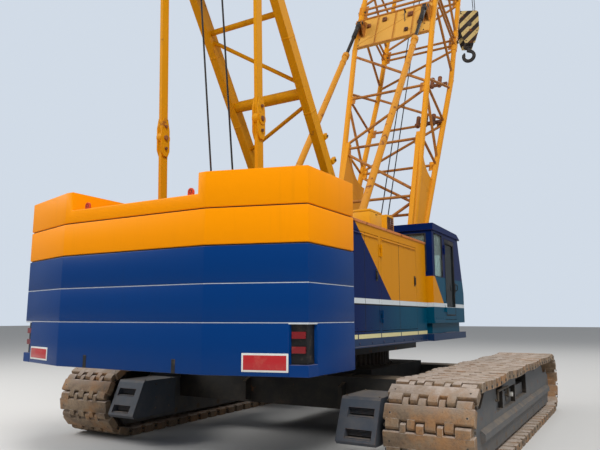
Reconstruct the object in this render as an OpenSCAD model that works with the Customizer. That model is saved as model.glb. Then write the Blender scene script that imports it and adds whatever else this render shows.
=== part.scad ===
// Crawler crane with a lattice boom, in its working stance.
// +Y is the way the crane faces, +X its right side, +Z up.
// The origin is on the slewing axis at ground level.

/* [Crawlers] */
// Distance between the middles of the two tracks
track_gauge = 5660; // [5500:10:5900]
// Width of a track shoe
shoe_w = 1060; // [900:10:1120]
// Distance from the slewing axis to each end wheel's axle, along Y
wheel_y = 3100; // [2950:10:3300]
// Radius from an end wheel's axle to the hinge pins of the shoes
pin_line_r = 500; // [470:5:520]
// Number of shoes in one track
shoe_count = 54; // [50:1:58]
// From the pin line out to the ground face of a shoe
shoe_out = 80; // [70:5:100]
// From the pin line in to the rolling face of a shoe
shoe_in = 50; // [40:5:60]
// Depth of the groove between two shoes
shoe_groove = 45; // [30:5:55]
// Width of the side frame inside a track
side_frame_w = 760; // [700:10:840]
// Height of the side frame's beam
side_frame_h = 440; // [380:10:460]
// Top of the side frame's plates over the ground
side_plate_top = 980; // [940:5:990]
// Radius of a bottom roller
roller_r = 110; // [100:5:120]
// Number of bottom rollers on one side
roller_count = 9; // [7:1:10]
// Width of an end wheel
end_wheel_w = 520; // [400:10:560]

/* [Lower works] */
// Width of the carbody's middle box
carbody_w = 2300; // [2000:50:2600]
// Length of the carbody's middle box
carbody_l = 2500; // [2200:50:2800]
// Height of the carbody's top face over the ground
carbody_top = 1060; // [1000:10:1080]
// Height of the carbody's bottom face over the ground
carbody_bottom = 420; // [350:10:500]
// Distance of each axle beam from the slewing axis
axle_y = 1500; // [1300:10:1700]
// Width of an axle beam
axle_w = 520; // [400:10:640]
// Height of an axle beam
axle_h = 500; // [400:10:560]
// Radius of the slewing gear's tooth tips
slew_gear_r = 900; // [800:10:960]
// Number of teeth on the slewing gear
slew_teeth = 60; // [40:1:80]

/* [Upper works] */
// Height of the revolving frame's underside over the ground
frame_z = 1300; // [1290:5:1340]
// Height of the revolving frame's bed
frame_h = 320; // [280:10:340]
// Half of the revolving frame's width
frame_hw = 1000; // [990:5:1005]
// Where the bed ends in front
frame_front_y = 1420; // [1400:10:1500]
// Where the bed meets the counterweight
frame_rear_y = -4200; // [-4260:10:-4160]
// Top of the bed's two side plates
plate_top_z = 2850; // [2800:10:2900]
// Thickness of a side plate
plate_t = 60; // [40:5:70]
// Half of the machinery house's width
house_hw = 1800; // [1750:10:1850]
// Height of the house roof over the ground
roof_z = 3200; // [3150:10:3250]
// Thickness of house walls and their doors
wall_t = 45; // [30:5:60]
// Where the house's rear wall stands
house_rear_y = -4100; // [-4130:10:-4050]
// Where the right side of the house ends in front
right_house_front_y = -300; // [-400:10:-290]
// Where the left side of the house ends in front
left_house_front_y = 900; // [700:10:1000]
// Thickness of the side decks
deck_t = 120; // [90:10:130]

/* [Counterweight] */
// Height of the lowest slab's underside over the ground
slabs_z0 = 1322; // [1310:2:1340]
// Thickness of the lowest slab
base_slab_h = 525; // [500:5:550]
// Thickness of each slab above it
slab_h = 400; // [380:5:405]
// Half width of the rear facet
cw_facet_hw = 1110; // [1000:10:1200]
// Half width at the rear corners
cw_corner_hw = 2186; // [2100:2:2210]
// Half width at the front edges
cw_front_hw = 2220; // [2212:2:2300]
// Where the rear facet stands
cw_rear_y = -5528; // [-5600:4:-5460]
// How far the corners stand forward of the rear facet
cw_corner_dy = 314; // [250:2:400]
// Half width of the notch in the top slab
cw_notch_hw = 1000; // [900:10:1100]
// Depth of the notch in the top slab
cw_notch_h = 235; // [200:5:300]

/* [Cab] */
// Left side of the cab
cab_x0 = 1040; // [1035:5:1060]
// Right side of the cab
cab_x1 = 1920; // [1880:10:1980]
// Rear wall of the cab
cab_y0 = -250; // [-270:10:-240]
// Foot of the windscreen
cab_y1 = 1760; // [1700:10:1850]
// Cab floor over the ground
cab_z0 = 1800; // [1780:10:1850]
// Cab roof over the ground
cab_z1 = 3480; // [3420:10:3540]
// Thickness of the cab's walls
cab_t = 50; // [40:5:60]

/* [Gantry] */
// Sideways place of each gantry leg
leg_x = 685; // [670:5:690]
// Foot pin of the legs, along Y
leg_foot_y = -660; // [-700:10:-600]
// Foot pin of the legs, over the ground
leg_foot_z = 2600; // [2560:10:2640]
// Sideways place of each rear link
link_x = 840; // [820:5:845]
// Apex shaft, along Y
apex_y = -4260; // [-4270:5:-4240]
// Apex shaft, over the ground
apex_z = 7700; // [7500:20:7900]
// Foot pin of the rear links, over the ground
link_foot_z = 2700; // [2660:10:2740]
// Height of the rear links' fold pin
link_fold_z = 4490; // [4300:10:4700]
// Radius of the sheaves at the apex
apex_sheave_r = 290; // [240:10:320]

/* [Boom] */
// Boom foot pins, along Y
boom_foot_y = 1260; // [1240:5:1270]
// Boom foot pins, over the ground
boom_foot_z = 1990; // [1970:5:2010]
// Boom angle over the ground
boom_angle = 67.5; // [67:0.5:68]
// Width between chord middles over the taper
boom_w = 2100; // [2090:10:2120]
// Depth between chord middles
boom_d = 1780; // [1750:10:1850]
// Length of the foot section
base_l = 8600; // [8500:50:8700]
// Length of the foot section's straight part over its taper
straight_l = 1450; // [1400:50:1500]
// Length of the middle section
insert_l = 9150; // [9100:50:9200]
// Length of the top section
tip_l = 6650; // [6600:50:6700]
// Outer radius of a chord
chord_r = 68; // [60:1:70]
// Outer radius of a lacing tube
lacing_r = 34; // [28:1:36]
// Sideways place of the boom foot plates
foot_plate_x = 900; // [895:1:905]
// Radius of the sheaves at the boom head
head_sheave_r = 340; // [300:10:360]
// How far the head sheaves stand forward of the boom's middle line
head_forward = 780; // [770:5:800]

/* [Hoist] */
// Length of the falls from the head shaft to the block shaft
fall_l = 11100; // [10500:100:11300]
// Radius of the hoist rope
rope_r = 14; // [10:1:16]
// Radius of the block's sheaves
block_sheave_r = 340; // [300:10:360]
// How far the hanging block is turned about its ropes
block_turn = -65; // [-70:1:-60]

/* [Hidden] */

// Running clearance round pins and shafts
pin_gap = 0.3;
// Clearance round doors
door_gap = 8;
// Clearance between seated pieces
seat_gap = 0.3;
// How far a cut runs past the face that it opens
past = 10;
fine = 48;

track_blue = [0.06, 0.17, 0.33];
orange = [0.96, 0.6, 0.04];
teal = [0.0, 0.36, 0.43];
house_yellow = [0.82, 0.55, 0.08];
dark = [0.17, 0.18, 0.2];
steel_grey = [0.3, 0.32, 0.34];
dusty = [0.62, 0.52, 0.42];
glass_tint = [0.6, 0.75, 0.8, 0.4];

sides = [-1, 1];
wheel_z = pin_line_r + shoe_out;
track_mid_x = track_gauge / 2;
rolling_r = pin_line_r - shoe_in;
side_frame_z = wheel_z - side_frame_h / 2;
frame_top = frame_z + frame_h;
plate_x = frame_hw - plate_t;
house_inner_x = frame_hw + 20;
deck_z1 = frame_top;
slab_levels = concat([slabs_z0], [for (i = [0 : 4]) slabs_z0 + base_slab_h + i * slab_h]);
boom_l = base_l + insert_l + tip_l;
taper_l = base_l - straight_l;

// A plain block from corner to corner
module block(x0, x1, y0, y1, z0, z1) {
    translate([x0, y0, z0]) cube([x1 - x0, y1 - y0, z1 - z0]);
}

// A round bar along X
module bar_x(x0, x1, y, z, r) {
    translate([x0, y, z]) rotate([0, 90, 0]) cylinder(h = x1 - x0, r = r, $fn = fine);
}

// A round bar from point p to point q
module bar(p, q, r) {
    d = q - p;
    l = norm(d);
    translate(p) rotate([0, acos(d[2] / l), atan2(d[1], d[0])]) cylinder(h = l, r = r, $fn = fine);
}

// A square bar in a plane x = constant, from (y, z) point p to point q
module flat_bar(x, w, p, q, depth) {
    d = q - p;
    translate([x - w / 2, p[0], p[1]]) rotate([atan2(d[1], d[0]), 0, 0])
        translate([0, 0, -depth / 2]) cube([w, norm(d), depth]);
}

// A side-view outline in (y, z), made into a plate from x0 to x1
module side_plate(x0, x1) {
    translate([x0, 0, 0]) rotate([90, 0, 90]) linear_extrude(x1 - x0) children();
}

// Point of a track's pin line at distance s along it, as [y, z, direction]
straight = 2 * wheel_y;
bend = PI * pin_line_r;
loop_l = 2 * (straight + bend);
function loop_point(s, r) =
    let (t = s - floor(s / loop_l) * loop_l)
    t < straight ? [-wheel_y + t, wheel_z - r, 0] :
    t < straight + bend ? let (a = (t - straight) / bend * 180)
        [wheel_y + r * sin(a), wheel_z - r * cos(a), a] :
    t < 2 * straight + bend ? [wheel_y - (t - straight - bend), wheel_z + r, 180] :
    let (a = (t - 2 * straight - bend) / bend * 180)
        [-wheel_y - r * sin(a), wheel_z + r * cos(a), 180 + a];

// One track: a closed loop of shoes with a groove at each hinge
shoe_pitch = loop_l / shoe_count;
shoe_profile = [[0, shoe_out - shoe_groove], [0.1, shoe_out], [0.9, shoe_out]];
module track_outline() {
    outer = [for (i = [0 : shoe_count - 1]) for (p = shoe_profile)
        let (c = loop_point((i + p[0]) * shoe_pitch, pin_line_r + p[1])) [c[0], c[1]]];
    inner = [for (i = [0 : shoe_count - 1])
        let (c = loop_point(i * shoe_pitch, rolling_r)) [c[0], c[1]]];
    difference() {
        polygon(outer);
        polygon(inner);
    }
}
module track(side) {
    color(dusty) side_plate(side * track_mid_x - shoe_w / 2, side * track_mid_x + shoe_w / 2)
        track_outline();
}
module track_left() track(-1);
module track_right() track(1);

// Side frames: a beam, fork plates for the end wheels and hangers for the rollers
fork_t = 70;
fork_in = side_frame_w / 2 - fork_t;
axle_r = 75;
hub_r = 190;
roller_axle_r = 45;
roller_z = wheel_z - rolling_r + roller_r + seat_gap;
roller_span = 2 * (wheel_y - 620);
roller_step = roller_span / (roller_count - 1);
carrier_r = 90;
carrier_z = wheel_z + rolling_r - carrier_r - seat_gap;
carrier_axle_r = 30;
bracket_x = 290;
bracket_t = 40;
carrier_ys = [-1500, 0, 1500];
beam_end_y = wheel_y - 560;
// Openings in the side plates: [low y, high y, low z, high z]
frame_openings = [[-1780, -1330, 620, 940], [-1250, -380, 600, 870], [-330, 650, 620, 940]];
plate_ramp = 420;
module frame_outline() polygon([[-wheel_y - hub_r, wheel_z - 120], [-wheel_y, roller_z - 70],
    [wheel_y, roller_z - 70], [wheel_y + hub_r, wheel_z - 120], [wheel_y + hub_r, wheel_z + 120],
    [wheel_y - 60, wheel_z + 210], [wheel_y - plate_ramp, wheel_z + 210],
    [wheel_y - 1.6 * plate_ramp, side_plate_top], [-wheel_y + 1.6 * plate_ramp, side_plate_top],
    [-wheel_y + plate_ramp, wheel_z + 210], [-wheel_y + 60, wheel_z + 210],
    [-wheel_y - hub_r, wheel_z + 120]]);
// Ledge along the foot of the outer plate, as a section in (x, z)
ledge_out = 60;
ledge_section = [[-2, 540], [ledge_out, 490], [ledge_out, 410], [-2, 370]];
ledge_y = [-2750, 3050];
module ledge(side) translate([0, ledge_y[1], 0]) rotate([90, 0, 0]) linear_extrude(ledge_y[1] - ledge_y[0])
    polygon([for (p = ledge_section) [side * (side_frame_w / 2 + p[0]), p[1]]]);
module track_frames() color(steel_grey) for (side = sides)
    translate([side * track_mid_x, 0, 0]) difference() {
    union() {
        block(-fork_in - 2, fork_in + 2, -beam_end_y, beam_end_y, side_frame_z,
            side_frame_z + side_frame_h);
        for (s = sides) side_plate(s > 0 ? fork_in : -side_frame_w / 2, s > 0 ? side_frame_w / 2 : -fork_in)
            difference() {
                frame_outline();
                for (o = frame_openings) translate([o[0], o[2]]) square([o[1] - o[0], o[3] - o[2]]);
            }
        for (y = carrier_ys) for (s = sides) block(s * bracket_x - bracket_t / 2,
            s * bracket_x + bracket_t / 2, y - 70, y + 70, wheel_z, carrier_z + 60);
        ledge(side);
    }
    for (s = sides) bar_x(-side_frame_w, side_frame_w, s * wheel_y, wheel_z, axle_r + pin_gap);
    for (i = [0 : roller_count - 1]) bar_x(-side_frame_w, side_frame_w, -roller_span / 2 + i * roller_step,
        roller_z, roller_axle_r + pin_gap);
    for (y = carrier_ys) bar_x(-side_frame_w, side_frame_w, y, carrier_z, carrier_axle_r + pin_gap);
}

// An end wheel with its axle
module end_wheel(y, r) {
    bar_x(-end_wheel_w / 2, end_wheel_w / 2, y, wheel_z, r);
    bar_x(-side_frame_w / 2, side_frame_w / 2, y, wheel_z, axle_r);
}
lug_r = rolling_r * cos(shoe_pitch / pin_line_r * 90 / PI) - seat_gap;
sprocket_teeth = 11;
module sprockets() color(dark) for (side = sides) translate([side * track_mid_x, 0, 0]) {
    end_wheel(-wheel_y, lug_r - 90);
    for (s = sides) side_plate(s * end_wheel_w / 2 - (s > 0 ? 110 : 0),
        s * end_wheel_w / 2 + (s > 0 ? 0 : 110))
        translate([-wheel_y, wheel_z]) polygon([for (i = [0 : sprocket_teeth - 1])
            for (p = [[-0.3, 95], [-0.17, 0], [0.17, 0], [0.3, 95]])
                let (a = (i + p[0]) * 360 / sprocket_teeth) (lug_r - p[1]) * [cos(a), sin(a)]]);
}
module idlers() color(dark) for (side = sides) translate([side * track_mid_x, 0, 0]) {
    end_wheel(wheel_y, lug_r - 60);
    for (s = sides) bar_x(s * 190 - 70, s * 190 + 70, wheel_y, wheel_z, lug_r);
}

// Bottom and carrier rollers, each fused to its axle
module rollers() color(dark) for (side = sides) translate([side * track_mid_x, 0, 0]) {
    for (i = [0 : roller_count - 1]) {
        y = -roller_span / 2 + i * roller_step;
        bar_x(-side_frame_w / 2, side_frame_w / 2, y, roller_z, roller_axle_r);
        bar_x(-fork_in + 5, fork_in - 5, y, roller_z, roller_r - 30);
        for (s = sides) bar_x(s * 200 - 70, s * 200 + 70, y, roller_z, roller_r);
    }
    for (y = carrier_ys) {
        bar_x(-bracket_x - bracket_t, bracket_x + bracket_t, y, carrier_z, carrier_axle_r);
        bar_x(-240, 240, y, carrier_z, carrier_r);
    }
}

// Step boxes inside the rear end of each track, with a leaning face and two step slots
drive_x0 = 1690;
drive_x1 = track_mid_x - side_frame_w / 2;
drive_box_x1 = 2210;
drive_y0 = -3680;
drive_y1 = -2750;
drive_z0 = 390;
drive_z1 = 930;
drive_lean = 230;
step_slots = [[drive_z0 + 70, 110], [drive_z0 + 310, 110]];
module travel_drives() color(steel_grey) for (side = sides) difference() {
    union() {
        side_plate(side > 0 ? drive_x0 : -drive_box_x1, side > 0 ? drive_box_x1 : -drive_x0)
            polygon([[drive_y0, drive_z0 + 40], [drive_y0 + 40, drive_z0], [drive_y1, drive_z0],
                [drive_y1, drive_z1], [drive_y0 + drive_lean, drive_z1],
                [drive_y0 + drive_lean - 25, drive_z1 - 30]]);
        block(side > 0 ? drive_box_x1 - past : -drive_x1, side > 0 ? drive_x1 : -drive_box_x1 + past,
            drive_y0 + 400, drive_y1, side_frame_z + 80, side_frame_z + side_frame_h + 40);
    }
    for (slot = step_slots) block(side > 0 ? drive_x0 + 110 : -drive_box_x1 + 60,
        side > 0 ? drive_box_x1 - 60 : -drive_x0 - 110, drive_y0 - past, drive_y0 + 340,
        slot[0], slot[0] + slot[1]);
}

// Carbody: a middle box, two axle beams and the seat of the slewing gear
web_x = 900;
web_t = 60;
web_past = 420;
module carbody() color(dark) {
    difference() {
        union() {
            block(-carbody_w / 2, carbody_w / 2, -carbody_l / 2, carbody_l / 2, carbody_bottom,
                carbody_top);
            for (s = sides) block(-drive_x1, drive_x1, s * axle_y - axle_w / 2, s * axle_y + axle_w / 2,
                carbody_bottom + 60, carbody_bottom + 60 + axle_h);
            for (s = sides) side_plate(s * web_x - web_t / 2, s * web_x + web_t / 2) polygon([
                [-axle_y - web_past, carbody_bottom + 120], [-axle_y, carbody_bottom + 60],
                [axle_y, carbody_bottom + 60], [axle_y + web_past, carbody_bottom + 120],
                [axle_y + web_past, carbody_bottom + web_past], [axle_y, carbody_top - 60],
                [-axle_y, carbody_top - 60], [-axle_y - web_past, carbody_bottom + web_past]]);
        }
        translate([0, 0, carbody_bottom - past]) cylinder(h = carbody_top, r = 420, $fn = fine);
    }
}

// Slewing gear, fixed on the carbody
slew_gap = 0.5;
module slew_gear() color(steel_grey) translate([0, 0, carbody_top]) difference() {
    linear_extrude(frame_z - slew_gap - carbody_top) polygon([for (i = [0 : slew_teeth - 1])
        for (p = [[-0.35, -35], [-0.15, 0], [0.15, 0], [0.35, -35]]) let (a = (i + p[0]) * 360 / slew_teeth)
            (slew_gear_r + p[1]) * [cos(a), sin(a)]]);
    translate([0, 0, -past]) cylinder(h = frame_z, r = 640, $fn = fine);
}

// Revolving frame: bed, side plates, boom foot lugs and the slewing bearing's outer ring
foot_plate_t = 100;
lug_side_gap = 7;
lug_pair = [[foot_plate_x - foot_plate_t / 2 - lug_side_gap - 60,
    foot_plate_x - foot_plate_t / 2 - lug_side_gap],
    [foot_plate_x + foot_plate_t / 2 + lug_side_gap, frame_hw - 2]];
foot_pin_r = 60;
foot_lug_r = 170;
drum_y = -1350;
drum_z = 2180;
hoist_drum_y = -3250;
hoist_drum_z = 2140;
drum_shaft_r = 60;
backstop_y = -1510;
backstop_z = 2950;
backstop_x = 900;
backstop_foot_w = 120;
// Brackets of the backstops on the side plates: [low x, high x]
backstop_bracket = [backstop_x + 76, frame_hw - 2];
small_pin_r = 40;
plate_rear_y = frame_rear_y + 5;
module revolving_frame() color(track_blue) difference() {
    union() {
        block(-frame_hw, frame_hw, frame_rear_y, frame_front_y, frame_z, frame_top);
        for (s = sides) side_plate(s > 0 ? plate_x : -frame_hw, s > 0 ? frame_hw : -plate_x)
            polygon([[plate_rear_y, frame_top - past], [0, frame_top - past], [0, plate_top_z - 300],
                [leg_foot_y + 150, plate_top_z - 100], [leg_foot_y - 50, plate_top_z],
                [plate_rear_y, plate_top_z]]);
        for (s = sides) side_plate(s > 0 ? backstop_bracket[0] : -backstop_bracket[1],
            s > 0 ? backstop_bracket[1] : -backstop_bracket[0]) union() {
                translate([backstop_y, backstop_z]) circle(r = 80, $fn = fine);
                polygon([[backstop_y - 170, plate_top_z - past], [backstop_y + 170, plate_top_z - past],
                    [backstop_y + 78, backstop_z], [backstop_y - 78, backstop_z]]);
            }
        for (s = sides) for (l = lug_pair) side_plate(s > 0 ? l[0] : -l[1], s > 0 ? l[1] : -l[0]) union() {
            translate([boom_foot_y, boom_foot_z]) circle(r = foot_lug_r, $fn = fine);
            polygon([[boom_foot_y - 420, frame_top - past], [boom_foot_y + 200, frame_top - past],
                [boom_foot_y + foot_lug_r, boom_foot_z], [boom_foot_y - foot_lug_r, boom_foot_z]]);
        }
        for (s = sides) bar_x(s > 0 ? lug_pair[0][0] - 10 : -frame_hw + 8,
            s > 0 ? frame_hw - 8 : 10 - lug_pair[0][0], boom_foot_y, boom_foot_z, foot_pin_r);
        for (s = sides) bar_x(s > 0 ? leg_x - 85 : -plate_x - past, s > 0 ? plate_x + past : -leg_x + 85,
            leg_foot_y, leg_foot_z, small_pin_r);
        for (s = sides) bar_x(s > 0 ? backstop_x - 80 : -frame_hw + 8,
            s > 0 ? frame_hw - 8 : -backstop_x + 80, backstop_y, backstop_z, small_pin_r);
        for (s = sides) bar_x(s > 0 ? link_x - 40 : -plate_x - past, s > 0 ? plate_x + past : -link_x + 40,
            link_foot[0], link_foot[1], small_pin_r);
    }
    for (p = [[drum_y, drum_z], [hoist_drum_y, hoist_drum_z]])
        bar_x(-frame_hw - past, frame_hw + past, p[0], p[1], drum_shaft_r + pin_gap);
    translate([0, 0, frame_z - past]) cylinder(h = frame_h + 2 * past, r = 300, $fn = fine);
}

// Rope drums with flanges and shafts
module drum(y, z, hw, core_r, flange_r) {
    bar_x(-frame_hw + seat_gap, frame_hw - seat_gap, y, z, drum_shaft_r);
    bar_x(-hw, hw, y, z, core_r);
    for (s = sides) bar_x(s * hw - 20, s * hw + 20, y, z, flange_r);
}
module main_drum() color(steel_grey) drum(drum_y, drum_z, 520, 270, 430);
module boom_hoist_drum() color(steel_grey) drum(hoist_drum_y, hoist_drum_z, 480, 220, 380);

// Side decks under the house and the cab
module side_decks() color(teal) {
    block(frame_hw, house_hw, house_rear_y, right_house_front_y, deck_z1 - deck_t, deck_z1);
    block(frame_hw, cab_x1, right_house_front_y, cab_y1 + 60, deck_z1 - deck_t, deck_z1);
    block(-house_hw, -frame_hw, house_rear_y, left_house_front_y + 500, deck_z1 - deck_t, deck_z1);
}

// Engine with its pumps, as one mass on the left deck
engine_y = [-3600, -1700];
engine_h = 1030;
module engine() color(dark) block(-house_hw + 130, -house_inner_x - 120, engine_y[0], engine_y[1], deck_z1,
    deck_z1 + engine_h);

// Door openings of the house: [low y, high y]
doors = [[-3960, -2440], [-2360, -800]];
door_z0 = deck_z1 + 90;
door_z1 = roof_z - wall_t - 90;
hinge_r = 8;
barrel_r = 16;
barrel_h = 60;
leaf_t = 8;
leaf_w = 70;
hinge_share = [0.15, 0.85];

// The fixed half of one door hinge: pin, end barrels and leaf, hinge axis on z
module hinge_fixed() {
    cylinder(h = 3 * barrel_h, r = hinge_r, center = true, $fn = 24);
    for (s = sides) translate([0, 0, s * barrel_h]) {
        cylinder(h = barrel_h - 2, r = barrel_r, center = true, $fn = 24);
        translate([-barrel_r, -leaf_w, -barrel_h / 2 + 1]) cube([leaf_t, leaf_w, barrel_h - 2]);
    }
}
// The moving half: middle barrel and leaf
module hinge_moving() difference() {
    union() {
        cylinder(h = barrel_h - 2, r = barrel_r, center = true, $fn = 24);
        translate([-barrel_r, 0, -barrel_h / 2 + 1]) cube([leaf_t, leaf_w, barrel_h - 2]);
    }
    cylinder(h = barrel_h, r = hinge_r + pin_gap, center = true, $fn = 24);
}
// Children placed at each hinge of a door whose hinge edge is at y, on a wall face at x
module at_hinges(side, x, y, z0, z1) for (k = hinge_share)
    translate([side * (x + barrel_r), y, z0 + k * (z1 - z0)]) mirror([side < 0 ? 1 : 0, 0, 0]) children();

// One side of the machinery house: a hollow box on the deck, open below
module house(side, front_y) union() {
        difference() {
            block(side > 0 ? house_inner_x : -house_hw, side > 0 ? house_hw : -house_inner_x,
                house_rear_y, front_y, deck_z1, roof_z - wall_t);
            block(side > 0 ? house_inner_x + wall_t : -house_hw + wall_t,
                side > 0 ? house_hw - wall_t : -house_inner_x - wall_t,
                house_rear_y + wall_t, front_y - wall_t, deck_z1 - past, roof_z);
            for (d = doors) block(side > 0 ? house_hw - wall_t - past : -house_hw - past,
                side > 0 ? house_hw + past : -house_hw + wall_t + past, d[0], d[1], door_z0, door_z1);
        }
        for (d = doors) at_hinges(side, house_hw, d[0], door_z0, door_z1) hinge_fixed();
}
module left_house() color(house_yellow) house(-1, left_house_front_y);
module right_house() color(house_yellow) house(1, right_house_front_y);

// A house door, hinged at its rear edge, with a flat handle near the other edge
handle_out = 15;
handle_in = 65;
handle_w = 30;
handle_h = 110;
handle_z = 2440;
module house_door(side, d) color(teal) union() {
    block(side > 0 ? house_hw - wall_t : -house_hw, side > 0 ? house_hw : -house_hw + wall_t,
        d[0] + door_gap, d[1] - door_gap, door_z0 + door_gap, door_z1 - door_gap);
    at_hinges(side, house_hw, d[0], door_z0, door_z1) hinge_moving();
    block(side > 0 ? house_hw : -house_hw - handle_out, side > 0 ? house_hw + handle_out : -house_hw,
        d[1] - handle_in - handle_w, d[1] - handle_in, handle_z, handle_z + handle_h);
}
module left_door_rear() house_door(-1, doors[0]);
module left_door_front() house_door(-1, doors[1]);
module right_door_rear() house_door(1, doors[0]);
module right_door_front() house_door(1, doors[1]);

// Roof panels of both sides
module house_roofs() color(house_yellow) {
    block(house_inner_x, house_hw, house_rear_y, right_house_front_y, roof_z - wall_t, roof_z);
    block(-house_hw, -house_inner_x, house_rear_y, left_house_front_y, roof_z - wall_t, roof_z);
}

// Box and air intake on the right roof: [x0, x1, y0, y1, height]
roof_items = [[1300, 1600, -2250, -1780, 330], [1300, 1600, -1570, -1260, 340]];
module roof_boxes() color(orange) for (b = roof_items) block(b[0], b[1], b[2], b[3], roof_z, roof_z + b[4]);

// Counterweight slabs
cw_outline = [[-cw_front_hw, frame_rear_y], [-cw_corner_hw, cw_rear_y + cw_corner_dy],
    [-cw_facet_hw, cw_rear_y], [cw_facet_hw, cw_rear_y], [cw_corner_hw, cw_rear_y + cw_corner_dy], [cw_front_hw, frame_rear_y]];
lamp_z0 = 1440;
lamp_w = 195;
lamp_d = 180;
module slab(i) translate([0, 0, slab_levels[i]]) linear_extrude(slab_levels[i + 1] - slab_levels[i])
    polygon(cw_outline);
module lamp_box(side, inset) {
    x0 = cw_corner_hw - lamp_w + inset;
    y0 = cw_rear_y + cw_corner_dy - 120;
    block(side > 0 ? x0 : -x0 - 600, side > 0 ? x0 + 600 : -x0, y0, y0 + 120 + lamp_d - inset,
        lamp_z0 + inset, slab_levels[1] + (inset > 0 ? 0 : past));
}
module counterweight_base() color(track_blue) difference() {
    slab(0);
    for (s = sides) lamp_box(s, 0);
}
module counterweight_slab_2() color(track_blue) slab(1);
module counterweight_slab_3() color(track_blue) slab(2);
module counterweight_slab_4() color(orange) slab(3);
lifting_eye_x = 826;
lifting_eye_y = cw_rear_y + 98;
lifting_eye_t = 25;
lifting_eye_r = 16;
lifting_eye_hw = 42;
notch_floor = slab_levels[5] - cw_notch_h;
lifting_eye_z = notch_floor + 58;
module counterweight_slab_5() color(orange) union() {
    difference() {
        slab(4);
        block(-cw_notch_hw, cw_notch_hw, cw_rear_y - past, frame_rear_y + past, notch_floor,
            slab_levels[5] + past);
    }
    for (s = sides) translate([s * lifting_eye_x, lifting_eye_y + lifting_eye_t / 2, 0]) rotate([90, 0, 0])
        linear_extrude(lifting_eye_t) difference() {
            union() {
                translate([0, lifting_eye_z]) circle(r = lifting_eye_hw, $fn = fine);
                translate([-lifting_eye_hw, notch_floor - past])
                    square([2 * lifting_eye_hw, lifting_eye_z - notch_floor + past]);
            }
            translate([0, lifting_eye_z]) circle(r = lifting_eye_r, $fn = fine);
        }
}
// Black lamp housings that fill the recesses, set back from the slab's faces
lamp_set_back = 40;
module lamp_housings() color(dark) intersection() {
    union() for (s = sides) lamp_box(s, seat_gap);
    translate([0, lamp_set_back, lamp_z0]) linear_extrude(slab_levels[1] - lamp_z0)
        polygon([for (p = cw_outline) [p[0] - sign(p[0]) * lamp_set_back, p[1]]]);
}
// Red lamps: two on the rear face of each housing, [low z, high z]
lamp_rows = [[1550, 1615], [1692, 1760]];
lamp_t = 30;
lamp_l = 140;
lamp_edge = 10;
lamp_angle = atan2(cw_corner_dy, cw_corner_hw - cw_facet_hw);
module tail_lamps() color([0.7, 0.05, 0.03]) for (s = sides) for (r = lamp_rows)
    translate([s * (cw_corner_hw - lamp_set_back), cw_rear_y + cw_corner_dy + lamp_set_back, r[0]])
        rotate([0, 0, s * lamp_angle]) translate([s > 0 ? -lamp_l - lamp_edge : lamp_edge, -lamp_t, 0])
            cube([lamp_l, lamp_t - seat_gap, r[1] - r[0]]);

// Cab: a hollow shell with its windows cut
screen_top_y = cab_y1 - 330;
sill_z = 2630;
cab_profile = [[cab_y0, cab_z0], [cab_y1, cab_z0], [cab_y1, sill_z - 250], [screen_top_y, cab_z1 - 60],
    [screen_top_y - 120, cab_z1], [cab_y0, cab_z1]];
cab_inner = [[cab_y0 + cab_t, cab_z0 + cab_t], [cab_y1 - cab_t, cab_z0 + cab_t],
    [cab_y1 - cab_t, sill_z - 250], [screen_top_y - cab_t, cab_z1 - 60 - cab_t], [screen_top_y - 120 - cab_t, cab_z1 - cab_t],
    [cab_y0 + cab_t, cab_z1 - cab_t]];
// Roof cap with an overhang to the rear, the right and the front
cap_over = 30;
cap_profile = [[cab_y0 - cap_over, cab_z1 - 40], [cab_y0 - cap_over, cab_z1 + 80],
    [screen_top_y - 150, cab_z1 + 50], [screen_top_y + 50, cab_z1 - 30], [screen_top_y + 50, cab_z1 - 55], [screen_top_y - 100, cab_z1 - 40]];
door_y0 = 430;
door_y1 = 1180;
cab_door_z0 = cab_z0 + 60;
cab_door_z1 = cab_z1 - 110;
// Windows in the side walls: [low y, high y, low z, high z]
quarter_window = [cab_y0 + 110, door_y0 - 90, sill_z, cab_z1 - 90];
left_window = [cab_y0 + 110, screen_top_y - 150, sill_z, cab_z1 - 110];
rear_window = [cab_x0 + 130, cab_x1 - 130, sill_z + 90, cab_z1 - 110];
screen_vector = [screen_top_y - cab_y1, cab_z1 - 60 - sill_z + 250];
screen_dir = screen_vector / norm(screen_vector);
screen_angle = atan2(screen_dir[1], screen_dir[0]);
screen_l = 760;
screen_start = [cab_y1, sill_z - 250] + 80 * screen_dir;
module window_x(x, w, grow, t) block(x - t / 2, x + t / 2, w[0] + grow, w[1] - grow, w[2] + grow,
    w[3] - grow);
module windscreen(x0, x1, start, len, depth, t) translate([x0, start[0], start[1]])
    rotate([screen_angle, 0, 0]) translate([0, 0, depth]) cube([x1 - x0, len, t]);
module cab_shell() color(teal) union() {
    difference() {
        side_plate(cab_x0, cab_x1) polygon(cab_profile);
        side_plate(cab_x0 + cab_t, cab_x1 - cab_t) polygon(cab_inner);
        block(cab_x1 - cab_t - past, cab_x1 + past, door_y0, door_y1, cab_door_z0, cab_door_z1);
        window_x(cab_x1 - cab_t / 2, quarter_window, 0, cab_t + 2 * past);
        window_x(cab_x0 + cab_t / 2, left_window, 0, cab_t + 2 * past);
        block(rear_window[0], rear_window[1], cab_y0 - past, cab_y0 + cab_t + past, rear_window[2],
            rear_window[3]);
        windscreen(cab_x0 + 70, cab_x1 - 70, screen_start, screen_l, -60, 180);
        block(cab_x0 + 120, cab_x1 - 120, cab_y1 - cab_t - past, cab_y1 + past, cab_z0 + 150, sill_z - 330);
    }
    side_plate(cab_x0, cab_x1 + cap_over) polygon(cap_profile);
    at_hinges(1, cab_x1, door_y0, cab_door_z0, cab_door_z1) hinge_fixed();
    block(cab_x0 + 60, cab_x1 - 60, cab_y0 + 60, cab_y1 - 200, deck_z1, cab_z0);
}
pane_t = 8;
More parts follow.
